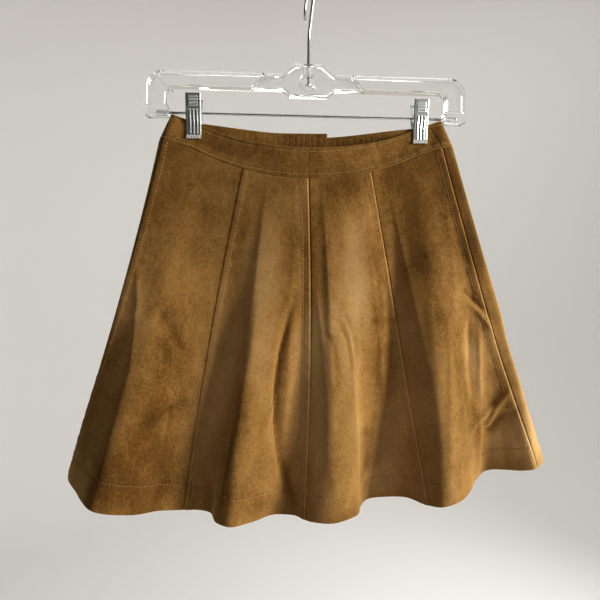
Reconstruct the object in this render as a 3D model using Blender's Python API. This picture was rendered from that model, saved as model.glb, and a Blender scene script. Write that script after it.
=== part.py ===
"""An A-line skirt of eight gores under a contoured waistband, zipped at the back, on a clip hanger.

Metres, +Z up. The front of the skirt faces -Y, and the origin is the inner top of the hanger's hook. The
cloth is one closed surface, read by its place round the skirt (0 to 8, one for each gore) and by its height
(-1 at the top of the waistband, 0 at the seam under it, 1 at the hem). Each panel is a wall on a patch of
that surface.
"""

import math

import bmesh
import bpy
import numpy as np
from mathutils import Matrix, Vector

# The cloth
CLOTH = 0.0014  # wall of a gore
HEM_CLOTH = 0.0026  # wall where the hem is turned up
BAND_CLOTH = 0.0020  # wall of the waistband, two layers and interfacing
GAP = 0.0003  # between pieces that touch
GORE_LENGTH = 0.379  # mean length from the band's seam to the hem
SIDE_EXTRA = 0.005  # more at the sides and less at the centres
HEM_ALLOWANCE, HEM_STEP = 0.028, 0.003  # the hem's depth, and the height over which its wall thickens

# The waistband's rings: its top edge, and the seam under it
TOP_HALF, SEAM_HALF = 0.152, 0.165  # half widths
CLIP_X = 0.127  # centre of each clip
CLIP_TOP_Z, CLIP_SEAM_Z = -0.1545, -0.1860  # heights of the two rings at the clips
FRONT_SAG = (0.0290, 0.0315)  # how far the front hangs down between the clips, at the top and at the seam
BACK_SAG = (0.0070, 0.0080)  # the same for the back
CORNER_RISE = (0.0080, 0.0110)  # from a clip up to the fold at the side, just under the rod
FRONT_BULGE, BACK_BULGE = 0.0140, 0.0120  # how far each side stands from the middle plane
FLAT_FROM, FLAT_TO = 0.117, 0.1375  # the stretch of x that a clip presses flat
PINCHED, UNPINCHED = BAND_CLOTH + GAP / 2, 0.0065  # half thickness in a clip, and at the seam
PINCH_ENDS = 0.6  # level of the clips' lips, below which the layers part
LOOP_TOP, LOOP_SEAM = 0.0036, 0.0075  # half thickness of the end loops outside the clips
UNDERLAP = 0.0240  # the tab of the left back band, past the centre back
UNDERLAP_SINK = 0.0043  # how far the tab lies inside the right back band's face
TAB_STEP = 0.0035  # how much lower the right back band's top edge is at the centre
DROP_FROM, DROP_OVER = 4.6, 1.4  # place where that edge starts to drop, and how many places it takes
TAB_TURN_SEAM, TAB_TURN_TOP = 0.12, 0.55  # places that the tab's step inward takes, at the seam and on top

# Seams: the layer they lie on, x at the band's top, at the seam under it and at the hem, and how far each
# sways from a straight line halfway down
SEAMS = (
    ("left_side", "front", -0.1475, -0.1600, -0.2630, 0.0080),
    ("left_front", "front", -0.0670, -0.0725, -0.1330, -0.0045),
    ("centre_front", "front", 0.0000, 0.0000, -0.0020, 0.0045),
    ("right_front", "front", 0.0645, 0.0700, 0.1370, 0.0035),
    ("right_side", "front", 0.1370, 0.1515, 0.2690, -0.0050),
    ("right_back", "back", 0.0810, 0.0880, 0.1560, 0.0000),
    ("centre_back", "back", 0.0000, 0.0000, 0.0000, 0.0000),
    ("left_back", "back", -0.0810, -0.0880, -0.1420, 0.0000),
)

CENTRE_BACK = 6  # its place
TAB_IN = CENTRE_BACK + 0.01  # where the tab has stepped in

# The hem's turns from the left side round the front: x, y, and how late the fold grows down the skirt
HEM_TURNS = (
    ("left fold", -0.2630, 0.0020, 1.2),
    ("left flute's side", -0.2410, -0.0330, 1.4),
    ("left flute", -0.2090, -0.0650, 1.5),
    ("left flute's face", -0.1800, -0.0500, 1.6),
    ("left dip", -0.1550, -0.0240, 1.6),
    ("left root", -0.1060, -0.0120, 2.4),
    ("left lip", -0.0970, -0.0330, 2.4),
    ("left centre flute", -0.0830, -0.0410, 1.5),
    ("left centre slope", -0.0600, -0.0270, 1.2),
    ("left centre valley", -0.0340, -0.0070, 1.2),
    ("centre dip", -0.0160, -0.0085, 1.6),
    ("centre step", 0.0040, -0.0240, 2.2),
    ("right centre flute", 0.0300, -0.0295, 1.2),
    ("right centre face", 0.0455, -0.0225, 1.1),
    ("right centre edge", 0.0570, -0.0140, 1.0),
    ("right centre flank", 0.0640, 0.0050, 0.9),
    ("right valley", 0.0750, 0.0190, 0.9),
    ("right valley's floor", 0.0950, 0.0200, 0.9),
    ("right valley's side", 0.1180, 0.0130, 0.9),
    ("right flute's side", 0.1350, -0.0110, 1.1),
    ("right flute", 0.1490, -0.0235, 1.2),
    ("right flute's face", 0.1700, -0.0205, 1.6),
    ("right slope", 0.1895, -0.0040, 2.0),
    ("right flank", 0.2030, 0.0140, 2.8),
    ("right recess", 0.2150, 0.0230, 3.5),
    ("right seam", 0.2690, -0.0020, 1.8),
    ("right fold", 0.2820, 0.0080, 1.3),
    ("back flute 1", 0.2360, 0.0710, 1.3),
    ("back valley 1", 0.1640, 0.0400, 1.2),
    ("back flute 2", 0.0940, 0.0750, 1.3),
    ("back valley 2", 0.0300, 0.0390, 1.2),
    ("back flute 3", -0.0380, 0.0740, 1.3),
    ("back valley 3", -0.1000, 0.0350, 1.2),
    ("back flute 4", -0.1640, 0.0750, 1.3),
    ("back valley 4", -0.2200, 0.0400, 1.2),
    ("back turn", -0.2560, 0.0260, 1.2),
)

# Folds lean as they go down: how many places further round each lies at the top than at the hem
LEAN = (
    (0.00, -0.60),
    (0.45, -0.05),
    (1.00, -0.05),
    (1.40, -0.05),
    (1.80, 0.30),
    (2.20, 0.00),
    (2.35, 0.12),
    (2.75, 0.58),
    (3.20, 0.40),
    (3.60, 0.60),
    (3.85, 0.70),
    (4.10, 0.30),
    (4.35, 0.05),
    (5.00, -0.15),
    (6.00, 0.00),
    (7.00, 0.15),
    (7.50, -0.30),
    (8.00, -0.60),
)

# The zip and the waistband's press stud
ZIP_LENGTH = 0.150
TAPE_WIDTH, TAPE_CLOTH = 0.0110, 0.0006
TAPE_TOP = 0.01625  # from the band's seam down to the tapes
SLIDER_ROOM, SLIDER_HALF_GAP = 0.0130, 0.0016  # the centre back seam opens this far round the slider
SLIDER_DROP = 0.0008  # from the band's seam down to the slider
SLIDER_HALF, SLIDER_HEIGHT, SLIDER_DEPTH = 0.0030, 0.0090, 0.0023
LUG_HALF, LUG_RADIUS, LUG_BORE = 0.0009, 0.0020, 0.0010  # the slider's lug, which the pull hangs on
PULL_OUT = 0.0024  # from the cloth's face to the pull's axis
PULL_LENGTH, PULL_HALF, PULL_THICK = 0.0200, 0.0031, 0.0012
PULL_SLOT_HALF, PULL_SLOT_LENGTH = 0.0014, 0.0046
STUD_X, STUD_RADIUS, STUD_THICK = 0.0120, 0.0045, 0.0007
STUD_LEVEL = -0.5  # halfway up the waistband

# The hanger
HANGER_HALF, HANGER_DEPTH = 0.178, 0.0090
ARM_TOP_Z, ARM_BOTTOM_Z = -0.0995, -0.1160
BLOCK_TOP_Z, BLOCK_BOTTOM_Z = -0.0880, -0.1230
BLOCK_TOP_HALF, BLOCK_HALF, BLOCK_BOTTOM_HALF = 0.0150, 0.0295, 0.0210
OUTER_CORNER, INNER_CORNER = 0.0180, 0.0080
LEG_INNER_X, LEG_BOTTOM_Z = 0.1570, -0.1465
FOOT_INNER_X, FOOT_HALF, FOOT_TOP_Z, FOOT_BOTTOM_Z = 0.1550, 0.0055, -0.1370, -0.1490
FOOT_PROUD = 0.0012  # beyond the leg's outer face
FLANGE, WEB = 0.0025, 0.0026  # thickness of the flanges, and of the web between them
RIB, RIB_INSET = 0.0022, 0.0004  # thickness of a rib, and how far its edge lies under the flanges' faces
RIBS = ((0.0500, -0.1010, 0.0635, -0.1150), (0.1660, -0.1040, 0.1510, -0.1200))  # x, z of both ends
BOSS_Z, BOSS_RADIUS, WINDOW_RADIUS = -0.1065, 0.0096, 0.0072
NECK_HALF, NECK_BOTTOM_Z = 0.0052, -0.1000
ROD_Z, ROD_RADIUS, ROD_HALF = -0.1443, 0.0016, 0.1680
ROD_PLAY = 0.0010  # between each end of the rod and the end of its bore
WIRE_RADIUS, HOOK_RADIUS = 0.00165, 0.0190  # the hook's inner radius
HOOK_TURN = math.radians(9.0)  # the hook's plane, turned from the middle plane towards +X at the front
SHANK_TOP_Z, SHANK_END_Z = -0.0660, -0.1105
HEAD_RADIUS, HEAD_HEIGHT, HEAD_SLOPE = 0.0034, 0.0018, 0.0002
SPINE_ANGLE, TIP_ANGLE = math.radians(-35.0), math.radians(205.0)  # where the hook's arc starts, ends

# The clips: the inner face of a sheet, as distance from the middle plane and height, from handle to lip
CLIP_HALF, CLIP_SHEET = 0.00825, 0.0009
CLIP_PROFILE = (
    (0.0086, -0.1255),
    (0.0070, -0.1340),
    (0.0062, -0.1400),
    (0.0062, -0.1480),
    (0.0042, -0.1525),
    (0.0026, -0.1570),
    (0.0026, -0.1695),
    (0.0040, -0.1738),
)
CHEEK, CHEEK_FRONT_X, CHEEK_BACK_X = 0.0008, 0.00745, 0.00630  # ears on the rod, and where each starts
CHEEK_HALF_HEIGHT, CHEEK_REACH = 0.0033, 0.0033
SPRING_RADIUS, SPRING_BORE, SPRING_HALF = 0.0042, 0.0021, 0.0056
RUNNING = 0.0004  # clearance of a pin in its hole

THROUGH = 0.0100  # how far a cutter runs past the piece it cuts

COLUMNS = 18  # strips of wall across a gore
TURN_SHARE, TURN_COLUMNS = 0.28, 7  # a back side gore's turn round its fold: its share, and its strips
ROWS = (0.0, 0.035, 0.07, 0.15, 0.24, 0.33, 0.42, 0.51, 0.60, 0.69, 0.78, 0.86)  # above the hem's fold
BAND_ROWS = (-1.0, -0.7, -0.4, -0.2, 0.0)
SIDES = (("left", -1), ("right", 1))
STEP_ACROSS, STEP_DOWN = 0.002, 0.004  # places and heights between the points that give a tangent


def mix(a, b, share):
    return a + (b - a) * share


def smoothstep(share):
    share = np.clip(share, 0.0, 1.0)
    return share * share * (3 - 2 * share)


def clear_scene():
    for old in list(bpy.data.objects):
        bpy.data.objects.remove(old, do_unlink=True)


def material(name, colour, roughness, metallic=0.0):
    made = bpy.data.materials.new(name)
    made.use_nodes = True
    shader = made.node_tree.nodes["Principled BSDF"]
    shader.inputs["Base Color"].default_value = (*colour, 1.0)
    shader.inputs["Roughness"].default_value = roughness
    shader.inputs["Metallic"].default_value = metallic
    made.diffuse_color = (*colour, 1.0)
    return made


def mesh_object(name, points, faces, look, smooth=False):
    mesh = bpy.data.meshes.new(name)
    mesh.from_pydata([tuple(point) for point in points], [], faces)
    mesh.materials.append(look)
    if smooth:
        mesh.shade_smooth()
        mesh.set_sharp_from_angle(angle=math.radians(35))
    made = bpy.data.objects.new(name, mesh)
    bpy.context.collection.objects.link(made)
    return made


# The cloth's surface


def waist_depth(x, level, bulge):
    """How far the band stands from the middle plane, from its top edge (level 0) to its seam (level 1)."""
    half = mix(TOP_HALF, SEAM_HALF, level)
    loop = mix(LOOP_TOP, LOOP_SEAM, level)
    pinch = mix(PINCHED, UNPINCHED, smoothstep((level - PINCH_ENDS) / (1 - PINCH_ENDS)))
    inside = np.clip(x / FLAT_FROM, 0.0, 1.0)
    outside = smoothstep((x - FLAT_TO) / (half - FLAT_TO - loop))
    closing = np.clip((x - half + loop) / loop, 0.0, 1.0)
    depth = pinch + (bulge - pinch) * (1 - inside**2) ** 2 + (loop - pinch) * outside
    return depth * np.sqrt(1 - closing**2)


def waist_height(x, level, sag):
    """A ring's height: a parabola between the clips, then straight up to the fold at the side."""
    half = mix(TOP_HALF, SEAM_HALF, level)
    between = np.clip(x / CLIP_X, 0.0, 1.0)
    beyond = np.clip((x - CLIP_X) / (half - CLIP_X), 0.0, 1.0)
    at_clip = mix(CLIP_TOP_Z, CLIP_SEAM_Z, level)
    return at_clip - mix(*sag, level) * (1 - between**2) + mix(*CORNER_RISE, level) * beyond


def waist_curve(level):
    """The closed ring at a level: the front from left to right, then the back from right to left."""
    half = mix(TOP_HALF, SEAM_HALF, level)
    x = -half * np.cos(np.linspace(0.0, math.pi, 401))
    out = abs(x)
    front = [x, -waist_depth(out, level, FRONT_BULGE), waist_height(out, level, FRONT_SAG)]
    back = [x, waist_depth(out, level, BACK_BULGE), waist_height(out, level, BACK_SAG)]
    return np.concatenate([np.stack(front, axis=1), np.stack(back, axis=1)[-2:0:-1]])


def hem_curve():
    """A smooth closed curve through the hem's turns, with each point's growth as its third column.

    Each stretch is a cubic whose ends take the slope of the parabola through the turn and its two neighbours.
    """
    turns = np.array([row[1:] for row in HEM_TURNS])
    ahead = np.roll(turns, -1, axis=0)
    chord = np.linalg.norm((ahead - turns)[:, :2], axis=1)[:, None]
    slope = (ahead - turns) / chord
    chord_before, slope_before = np.roll(chord, 1, axis=0), np.roll(slope, 1, axis=0)
    tangent = (slope_before * chord + slope * chord_before) / (chord + chord_before)
    leave, arrive = tangent * chord, np.roll(tangent, -1, axis=0) * chord
    t = np.linspace(0.0, 1.0, 24, endpoint=False)[None, :, None]
    curve = (
        turns[:, None] * (2 * t**3 - 3 * t**2 + 1)
        + leave[:, None] * (t**3 - 2 * t**2 + t)
        + ahead[:, None] * (3 * t**2 - 2 * t**3)
        + arrive[:, None] * (t**3 - t**2)
    )
    return curve.reshape(-1, 3)


def by_place(curve, seam_x):
    """The closed curve as a function of place: each gore's stretch is walked evenly from seam to seam."""
    closed = np.concatenate([curve, curve[:1]])
    steps = np.linalg.norm(np.diff(closed[:, :2], axis=0), axis=1)
    walked = np.concatenate([[0.0], np.cumsum(steps)])
    right_fold = int(np.argmax(curve[:, 0]))
    stations = []
    for row, x in zip(SEAMS, seam_x):
        first, last = (0, right_fold + 1) if row[1] == "front" else (right_fold, len(curve))
        stations.append(walked[first + int(np.argmin(abs(curve[first:last, 0] - x)))])
    stations.append(stations[0] + walked[-1])

    def read(place):
        at = np.interp(np.mod(place, len(SEAMS)), np.arange(len(SEAMS) + 1), stations)
        at = np.mod(at, walked[-1])
        return np.stack([np.interp(at, walked, closed[:, k]) for k in range(closed.shape[1])], axis=-1)

    return read


class Cloth:
    """The skirt's outer face, read by place and height."""

    def __init__(self):
        self.rings = {}
        self.hem = by_place(hem_curve(), [row[4] for row in SEAMS])
        self.sway = [row[5] for row in SEAMS + SEAMS[:1]]

    def ring(self, level):
        level = round(level, 6)
        if level not in self.rings:
            seam_x = [mix(row[2], row[3], level) for row in SEAMS]
            self.rings[level] = by_place(waist_curve(level), seam_x)
        return self.rings[level]

    def points(self, place, height):
        """A row of points.

        Below the band, x and z run straight to the hem but for the sway, and y's share of the way is height
        to the power of its growth, read where the fold leans to.
        """
        if height < 0:
            return self.ring(1 + height)(place)
        top, hem = self.ring(1.0)(place), self.hem(place)
        length = GORE_LENGTH + SIDE_EXTRA * np.cos(math.pi * place / 2)
        reach = hem[:, :2] - top[:, :2]
        drop = np.sqrt(length**2 - (reach**2).sum(axis=1))
        sway = np.interp(np.mod(place, len(SEAMS)), np.arange(len(SEAMS) + 1), self.sway)
        x = top[:, 0] + reach[:, 0] * height + sway * math.sin(math.pi * height)
        lean = np.interp(np.mod(place, len(SEAMS)), *zip(*LEAN))
        fold = self.hem(place - lean * (1 - height))
        y = top[:, 1] + (fold[:, 1] - top[:, 1]) * height ** fold[:, 2]
        return np.stack([x, y, top[:, 2] - drop * height], axis=1)

    def frame(self, place, height):
        """Points, unit tangents across and down the cloth, and outward normals."""
        across = self.points(place + STEP_ACROSS, height) - self.points(place - STEP_ACROSS, height)
        below, above = min(height + STEP_DOWN, 1.0), max(height - STEP_DOWN, -1.0)
        down = self.points(place, below) - self.points(place, above)
        outward = np.cross(down, across)
        unit = [v / np.linalg.norm(v, axis=1)[:, None] for v in (across, down, outward)]
        return self.points(place, height), *unit


def wall(name, look, outer, inner):
    """A closed wall between two grids of points, rows from the top and columns from the viewer's left."""
    rows, columns = outer.shape[:2]
    index = np.arange(rows * columns).reshape(rows, columns)
    under = index + rows * columns
    faces = []
    for r in range(rows - 1):
        for c in range(columns - 1):
            corners = ((r, c), (r + 1, c), (r + 1, c + 1), (r, c + 1))
            faces.append([int(index[at]) for at in corners])
            faces.append([int(under[at]) for at in reversed(corners)])
    for edge in (
        [(0, c) for c in range(columns)],
        [(r, columns - 1) for r in range(rows)],
        [(rows - 1, c) for c in reversed(range(columns))],
        [(r, 0) for r in reversed(range(rows))],
    ):
        for a, b in zip(edge, edge[1:]):
            faces.append([int(index[a]), int(index[b]), int(under[b]), int(under[a])])
    points = np.concatenate([outer.reshape(-1, 3), inner.reshape(-1, 3)])
    return mesh_object(name, points, faces, look, smooth=True)


def panel(name, look, cloth, places, heights, thick, sink=None, side_gap=None, drop=None):
    """A wall on a patch of the cloth, trimmed by half a gap at its four edges.

    thick gives the wall at each height. sink moves points inward and drop lowers them, by place and height,
    and side_gap gives the trim of the first and last columns by height.
    """
    outer, inner = [], []
    for height, wall_here in zip(heights, thick):
        points, across, down, outward = cloth.frame(places, height)
        if sink is not None:
            points = points - outward * sink(places, height)[:, None]
        if drop is not None:
            points = points + down * drop(places, height)[:, None]
        first, last = (GAP / 2, GAP / 2) if side_gap is None else side_gap(height)
        points[0] += across[0] * first
        points[-1] -= across[-1] * last
        if height == heights[0] and height > -1:
            points += down * GAP / 2
        if height == heights[-1] and height < 1:
            points -= down * GAP / 2
        outer.append(points)
        inner.append(points - outward * wall_here)
    return wall(name, look, np.array(outer), np.array(inner))


# The skirt's pieces


def gore_places(number):
    """Columns across a gore: even, but close together where a side gore of the back turns round its fold."""
    near_fold = np.linspace(0.0, TURN_SHARE, TURN_COLUMNS, endpoint=False)
    turning = np.concatenate([near_fold, np.linspace(TURN_SHARE, 1.0, COLUMNS - TURN_COLUMNS + 1)])
    if number == 4:
        return number + turning
    if number == 7:
        return number + 1 - turning[::-1]
    return number + np.linspace(0.0, 1.0, COLUMNS + 1)


def slider_gap(height):
    """Half the gap at the centre back: wide round the slider, then closed."""
    open_to = SLIDER_ROOM / GORE_LENGTH
    return mix(SLIDER_HALF_GAP, GAP / 2, float(smoothstep((height - open_to) / open_to)))


def gap_before_zip(height):
    return GAP / 2, slider_gap(height)


def gap_after_zip(height):
    return slider_gap(height), GAP / 2


def build_gores(cloth, look):
    hem_top = 1 - HEM_ALLOWANCE / GORE_LENGTH
    heights = (*ROWS, hem_top, hem_top + HEM_STEP, 1.0)
    thick = [CLOTH if height <= hem_top else HEM_CLOTH for height in heights]
    names = (
        "gore_front_left_side",
        "gore_front_left_centre",
        "gore_front_right_centre",
        "gore_front_right_side",
        "gore_back_right_side",
        "gore_back_right_centre",
        "gore_back_left_centre",
        "gore_back_left_side",
    )
    beside_zip = {CENTRE_BACK - 1: gap_before_zip, CENTRE_BACK: gap_after_zip}
    for number, name in enumerate(names):
        panel(name, look, cloth, gore_places(number), heights, thick, side_gap=beside_zip.get(number))


def band_stretch(first, last):
    """Columns of the band between two places: those of the gores under it."""
    gores = [gore_places(number) for number in range(first, last)]
    return np.unique(np.round(np.concatenate(gores), 6))


def right_back_drop(places, height):
    """The right back band's top edge runs lower towards the centre back."""
    near_centre = smoothstep((places - DROP_FROM) / DROP_OVER)
    return TAB_STEP * near_centre * smoothstep(-height)


def underlap_sink(places, height):
    """The tab steps inward before the centre back, more gently towards its top edge."""
    over = mix(TAB_TURN_SEAM, TAB_TURN_TOP, -height)
    return UNDERLAP_SINK * smoothstep((TAB_IN + over - places) / over)


def build_band(cloth, look):
    thick = [BAND_CLOTH] * len(BAND_ROWS)
    panel("band_front_left", look, cloth, band_stretch(0, 2), BAND_ROWS, thick)
    panel("band_front_right", look, cloth, band_stretch(2, 4), BAND_ROWS, thick)
    panel("band_back_right", look, cloth, band_stretch(4, 6), BAND_ROWS, thick, drop=right_back_drop)
    tab_end = CENTRE_BACK - UNDERLAP / SEAMS[5][3]
    turned = TAB_IN + TAB_TURN_SEAM
    tab_places = [np.linspace(tab_end, TAB_IN, 6, endpoint=False), np.linspace(TAB_IN, turned, 5)]
    stretch = band_stretch(CENTRE_BACK, 8)
    places = np.concatenate([*tab_places, stretch[stretch > turned + 0.01]])
    panel("band_back_left", look, cloth, places, BAND_ROWS, thick, sink=underlap_sink)


def build_tapes(cloth, look):
    """The zip's two tapes, inside the centre back seam below the slider."""
    heights = np.linspace(TAPE_TOP, TAPE_TOP + ZIP_LENGTH, 7) / GORE_LENGTH
    for name, side in (("zip_tape_right", -1), ("zip_tape_left", 1)):
        outer, inner = [], []
        for height in heights:
            beside = cloth.points(np.array([CENTRE_BACK, CENTRE_BACK + STEP_ACROSS]), height)
            place_width = np.linalg.norm(beside[1] - beside[0]) / STEP_ACROSS
            from_seam = np.array([GAP, TAPE_WIDTH / 2, TAPE_WIDTH]) / place_width
            places = np.sort(CENTRE_BACK + side * from_seam)
            points, _, _, outward = cloth.frame(places, height)
            outer.append(points - outward * (CLOTH + GAP))
            inner.append(points - outward * (CLOTH + GAP + TAPE_CLOTH))
        wall(name, look, np.array(outer), np.array(inner))


# Hard shapes


def prism(name, look, outline, axis, low, high):
    """A flat outline pushed along X or Y. The outline holds y and z for X, and x and z for Y."""
    count = len(outline)
    points = []
    for end in (low, high):
        points += [(end, a, b) if axis == "x" else (a, end, b) for a, b in outline]
    faces = [list(range(count)), list(range(count, 2 * count))]
    for k in range(count):
        after = (k + 1) % count
        faces.append([k, after, count + after, count + k])
    made = mesh_object(name, points, faces, look)
    face_outward(made.data)
    return made


def face_outward(mesh):
    shape = bmesh.new()
    shape.from_mesh(mesh)
    bmesh.ops.recalc_face_normals(shape, faces=shape.faces)
    shape.to_mesh(mesh)
    shape.free()


def block(name, look, low, high):
    outline = ((low[0], low[2]), (high[0], low[2]), (high[0], high[2]), (low[0], high[2]))
    return prism(name, look, outline, "y", low[1], high[1])


def rod(name, look, axis, centre, low, high, radius, sides=24):
    """A round rod along X, Y or Z. centre holds its two other coordinates, in their order."""
    shape = bmesh.new()
    bmesh.ops.create_cone(
        shape, cap_ends=True, segments=sides, radius1=radius, radius2=radius, depth=high - low
    )
    if axis != "z":
        turn = Matrix.Rotation(math.pi / 2, 3, "Y" if axis == "x" else "X")
        bmesh.ops.rotate(shape, verts=shape.verts, matrix=turn)
    place = list(centre)
    place.insert("xyz".index(axis), (low + high) / 2)
    bmesh.ops.translate(shape, verts=shape.verts, vec=Vector(place))
    mesh = bpy.data.meshes.new(name)
    shape.to_mesh(mesh)
    shape.free()
    mesh.materials.append(look)
    mesh.shade_smooth()
    mesh.set_sharp_from_angle(angle=math.radians(40))
    made = bpy.data.objects.new(name, mesh)
    bpy.context.collection.objects.link(made)
    return made


def combine(target, operation, *tools):
    """Boolean each tool with the target, and keep it as a hidden helper."""
    for tool in tools:
        change = target.modifiers.new(tool.name, "BOOLEAN")
        change.operation = operation
        change.object = tool
        tool.hide_render = True
        tool.display_type = "WIRE"
    return target


def arc(centre, radius, start, end, steps):
    angles = [mix(start, end, k / steps) for k in range(steps + 1)]
    return [(centre[0] + radius * math.cos(a), centre[1] + radius * math.sin(a)) for a in angles]


# The zip's slider and pull, and the press stud


def centre_back_face():
    """y of the cloth's face and z of the band's seam, at the centre back."""
    return BACK_BULGE, CLIP_SEAM_Z - BACK_SAG[1]


def build_slider(look):
    """The slider lies inside the seam, and its lug stands out through it."""
    face_y, seam_z = centre_back_face()
    inner_y = face_y - CLOTH - GAP
    top = seam_z - SLIDER_DROP
    bottom = top - SLIDER_HEIGHT
    low, high = (-SLIDER_HALF, inner_y - SLIDER_DEPTH, bottom), (SLIDER_HALF, inner_y, top)
    slider = block("zip_slider", look, low, high)
    axis_y, axis_z = face_y + PULL_OUT, (top + bottom) / 2
    round_end = arc((axis_y, axis_z), LUG_RADIUS, -math.pi / 2, math.pi / 2, 10)
    root = inner_y - SLIDER_DEPTH / 2
    outline = [(root, axis_z - LUG_RADIUS), *round_end, (root, axis_z + LUG_RADIUS)]
    lug = prism("slider_lug", look, outline, "x", -LUG_HALF, LUG_HALF)
    bore = rod("lug_bore", look, "x", (axis_y, axis_z), -2 * LUG_HALF, 2 * LUG_HALF, LUG_BORE, sides=16)
    combine(slider, "UNION", lug)
    combine(slider, "DIFFERENCE", bore)
    return axis_y, axis_z


def build_pull(look, axis_y, axis_z):
    """A tear-drop tab whose top bar runs through the slider's lug. It hangs, and swings out and up."""
    half_bar = PULL_THICK / 2
    top_half = PULL_SLOT_HALF + 2 * half_bar
    low = PULL_HALF - PULL_LENGTH
    round_end = arc((0, low), PULL_HALF, math.pi, 2 * math.pi, 14)
    outline = [(-top_half, half_bar), *round_end, (top_half, half_bar)]
    pull = prism("zip_pull", look, outline, "y", -half_bar, half_bar)
    slot_low = (-PULL_SLOT_HALF, -PULL_THICK, -half_bar - PULL_SLOT_LENGTH)
    slot = block("pull_slot", look, slot_low, (PULL_SLOT_HALF, PULL_THICK, -half_bar))
    for shape in (pull, slot):
        shape.location = (0.0, axis_y, axis_z)
    combine(pull, "DIFFERENCE", slot)


def build_stud(cloth, look):
    """The two discs of a press stud, between the tab and the right back band."""
    place = CENTRE_BACK - STUD_X / SEAMS[5][3]
    _, face_y, z = cloth.points(np.array([place]), STUD_LEVEL)[0]
    socket_y = face_y - BAND_CLOTH - GAP
    stud_y = face_y - UNDERLAP_SINK + GAP
    rod("stud_socket", look, "y", (STUD_X, z), socket_y - STUD_THICK, socket_y, STUD_RADIUS)
    rod("stud_cap", look, "y", (STUD_X, z), stud_y, stud_y + STUD_THICK, STUD_RADIUS)


# The hanger


def hanger_outline():
    """The body's outline, x and z: a block under the hook, two arms, and a leg at each end."""
    half = [
        (BLOCK_TOP_HALF, BLOCK_TOP_Z),
        (BLOCK_HALF, ARM_TOP_Z),
        *arc((HANGER_HALF - OUTER_CORNER, ARM_TOP_Z - OUTER_CORNER), OUTER_CORNER, math.pi / 2, 0, 8),
        (HANGER_HALF, LEG_BOTTOM_Z),
        (LEG_INNER_X, LEG_BOTTOM_Z),
        *arc((LEG_INNER_X - INNER_CORNER, ARM_BOTTOM_Z - INNER_CORNER), INNER_CORNER, 0, math.pi / 2, 5),
        (BLOCK_HALF, ARM_BOTTOM_Z),
        (BLOCK_BOTTOM_HALF, BLOCK_BOTTOM_Z),
    ]
    return half + [(-x, z) for x, z in reversed(half)]


def build_hanger_body(look):
    """An I-section plate with ribs, a round window for the hook's head, and feet that hold the rod."""
    body = prism("hanger_body", look, hanger_outline(), "y", -HANGER_DEPTH / 2, HANGER_DEPTH / 2)
    shape = bmesh.new()
    shape.from_mesh(body.data)
    faces = [face for face in shape.faces if abs(face.normal.y) > 0.9]
    bmesh.ops.inset_individual(
        shape, faces=faces, thickness=FLANGE, depth=-(HANGER_DEPTH - WEB) / 2, use_even_offset=True
    )
    shape.to_mesh(body.data)
    shape.free()
    rib_y = HANGER_DEPTH / 2 - RIB_INSET
    for side_name, side in SIDES:
        for number, (x0, z0, x1, z1) in enumerate(RIBS):
            across = Vector((z1 - z0, x0 - x1)).normalized() * RIB / 2
            corners = [(x0 + across.x, z0 + across.y), (x1 + across.x, z1 + across.y)]
            corners += [(x1 - across.x, z1 - across.y), (x0 - across.x, z0 - across.y)]
            outline = [(side * x, z) for x, z in corners]
            rib = prism(f"rib_{side_name}_{number}", look, outline, "y", -rib_y, rib_y)
            combine(body, "UNION", rib)
        low_x, high_x = sorted((side * FOOT_INNER_X, side * (HANGER_HALF + FOOT_PROUD)))
        low, high = (low_x, -FOOT_HALF, FOOT_BOTTOM_Z), (high_x, FOOT_HALF, FOOT_TOP_Z)
        combine(body, "UNION", block(f"foot_{side_name}", look, low, high))
    boss = rod("boss", look, "y", (0, BOSS_Z), -rib_y, rib_y, BOSS_RADIUS, sides=32)
    neck_top = BLOCK_TOP_Z - FLANGE / 2
    neck = block("neck", look, (-NECK_HALF, -rib_y, NECK_BOTTOM_Z), (NECK_HALF, rib_y, neck_top))
    combine(body, "UNION", boss, neck)
    window = rod("window", look, "y", (0, BOSS_Z), -THROUGH, THROUGH, WINDOW_RADIUS, sides=32)
    hook_radius, rod_radius = WIRE_RADIUS + RUNNING, ROD_RADIUS + RUNNING
    hook_bore = rod("hook_bore", look, "z", (0, 0), BOSS_Z, BLOCK_TOP_Z + THROUGH, hook_radius, sides=20)
    rod_reach = ROD_HALF + ROD_PLAY
    rod_bore = rod("rod_bore", look, "x", (0, ROD_Z), -rod_reach, rod_reach, rod_radius, sides=20)
    combine(body, "DIFFERENCE", window, hook_bore, rod_bore)


def hook_path():
    """The wire's centre line in the hook's plane, from the shank's top: distance to the front, and height."""
    radius = HOOK_RADIUS + WIRE_RADIUS
    start = Vector((radius * math.cos(SPINE_ANGLE), -HOOK_RADIUS + radius * math.sin(SPINE_ANGLE)))
    along = Vector((math.sin(SPINE_ANGLE), -math.cos(SPINE_ANGLE)))
    shank_top = Vector((0.0, SHANK_TOP_Z))
    pull = 0.42 * (start - shank_top).length
    bend = []
    for k in range(11):
        t = k / 11
        points = (shank_top, shank_top + Vector((0, pull)), start + along * pull, start)
        weights = ((1 - t) ** 3, 3 * t * (1 - t) ** 2, 3 * t * t * (1 - t), t**3)
        bend.append(tuple(sum((p * w for p, w in zip(points, weights)), Vector((0.0, 0.0)))))
    return bend + arc((0.0, -HOOK_RADIUS), radius, SPINE_ANGLE, TIP_ANGLE, 22)


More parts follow.
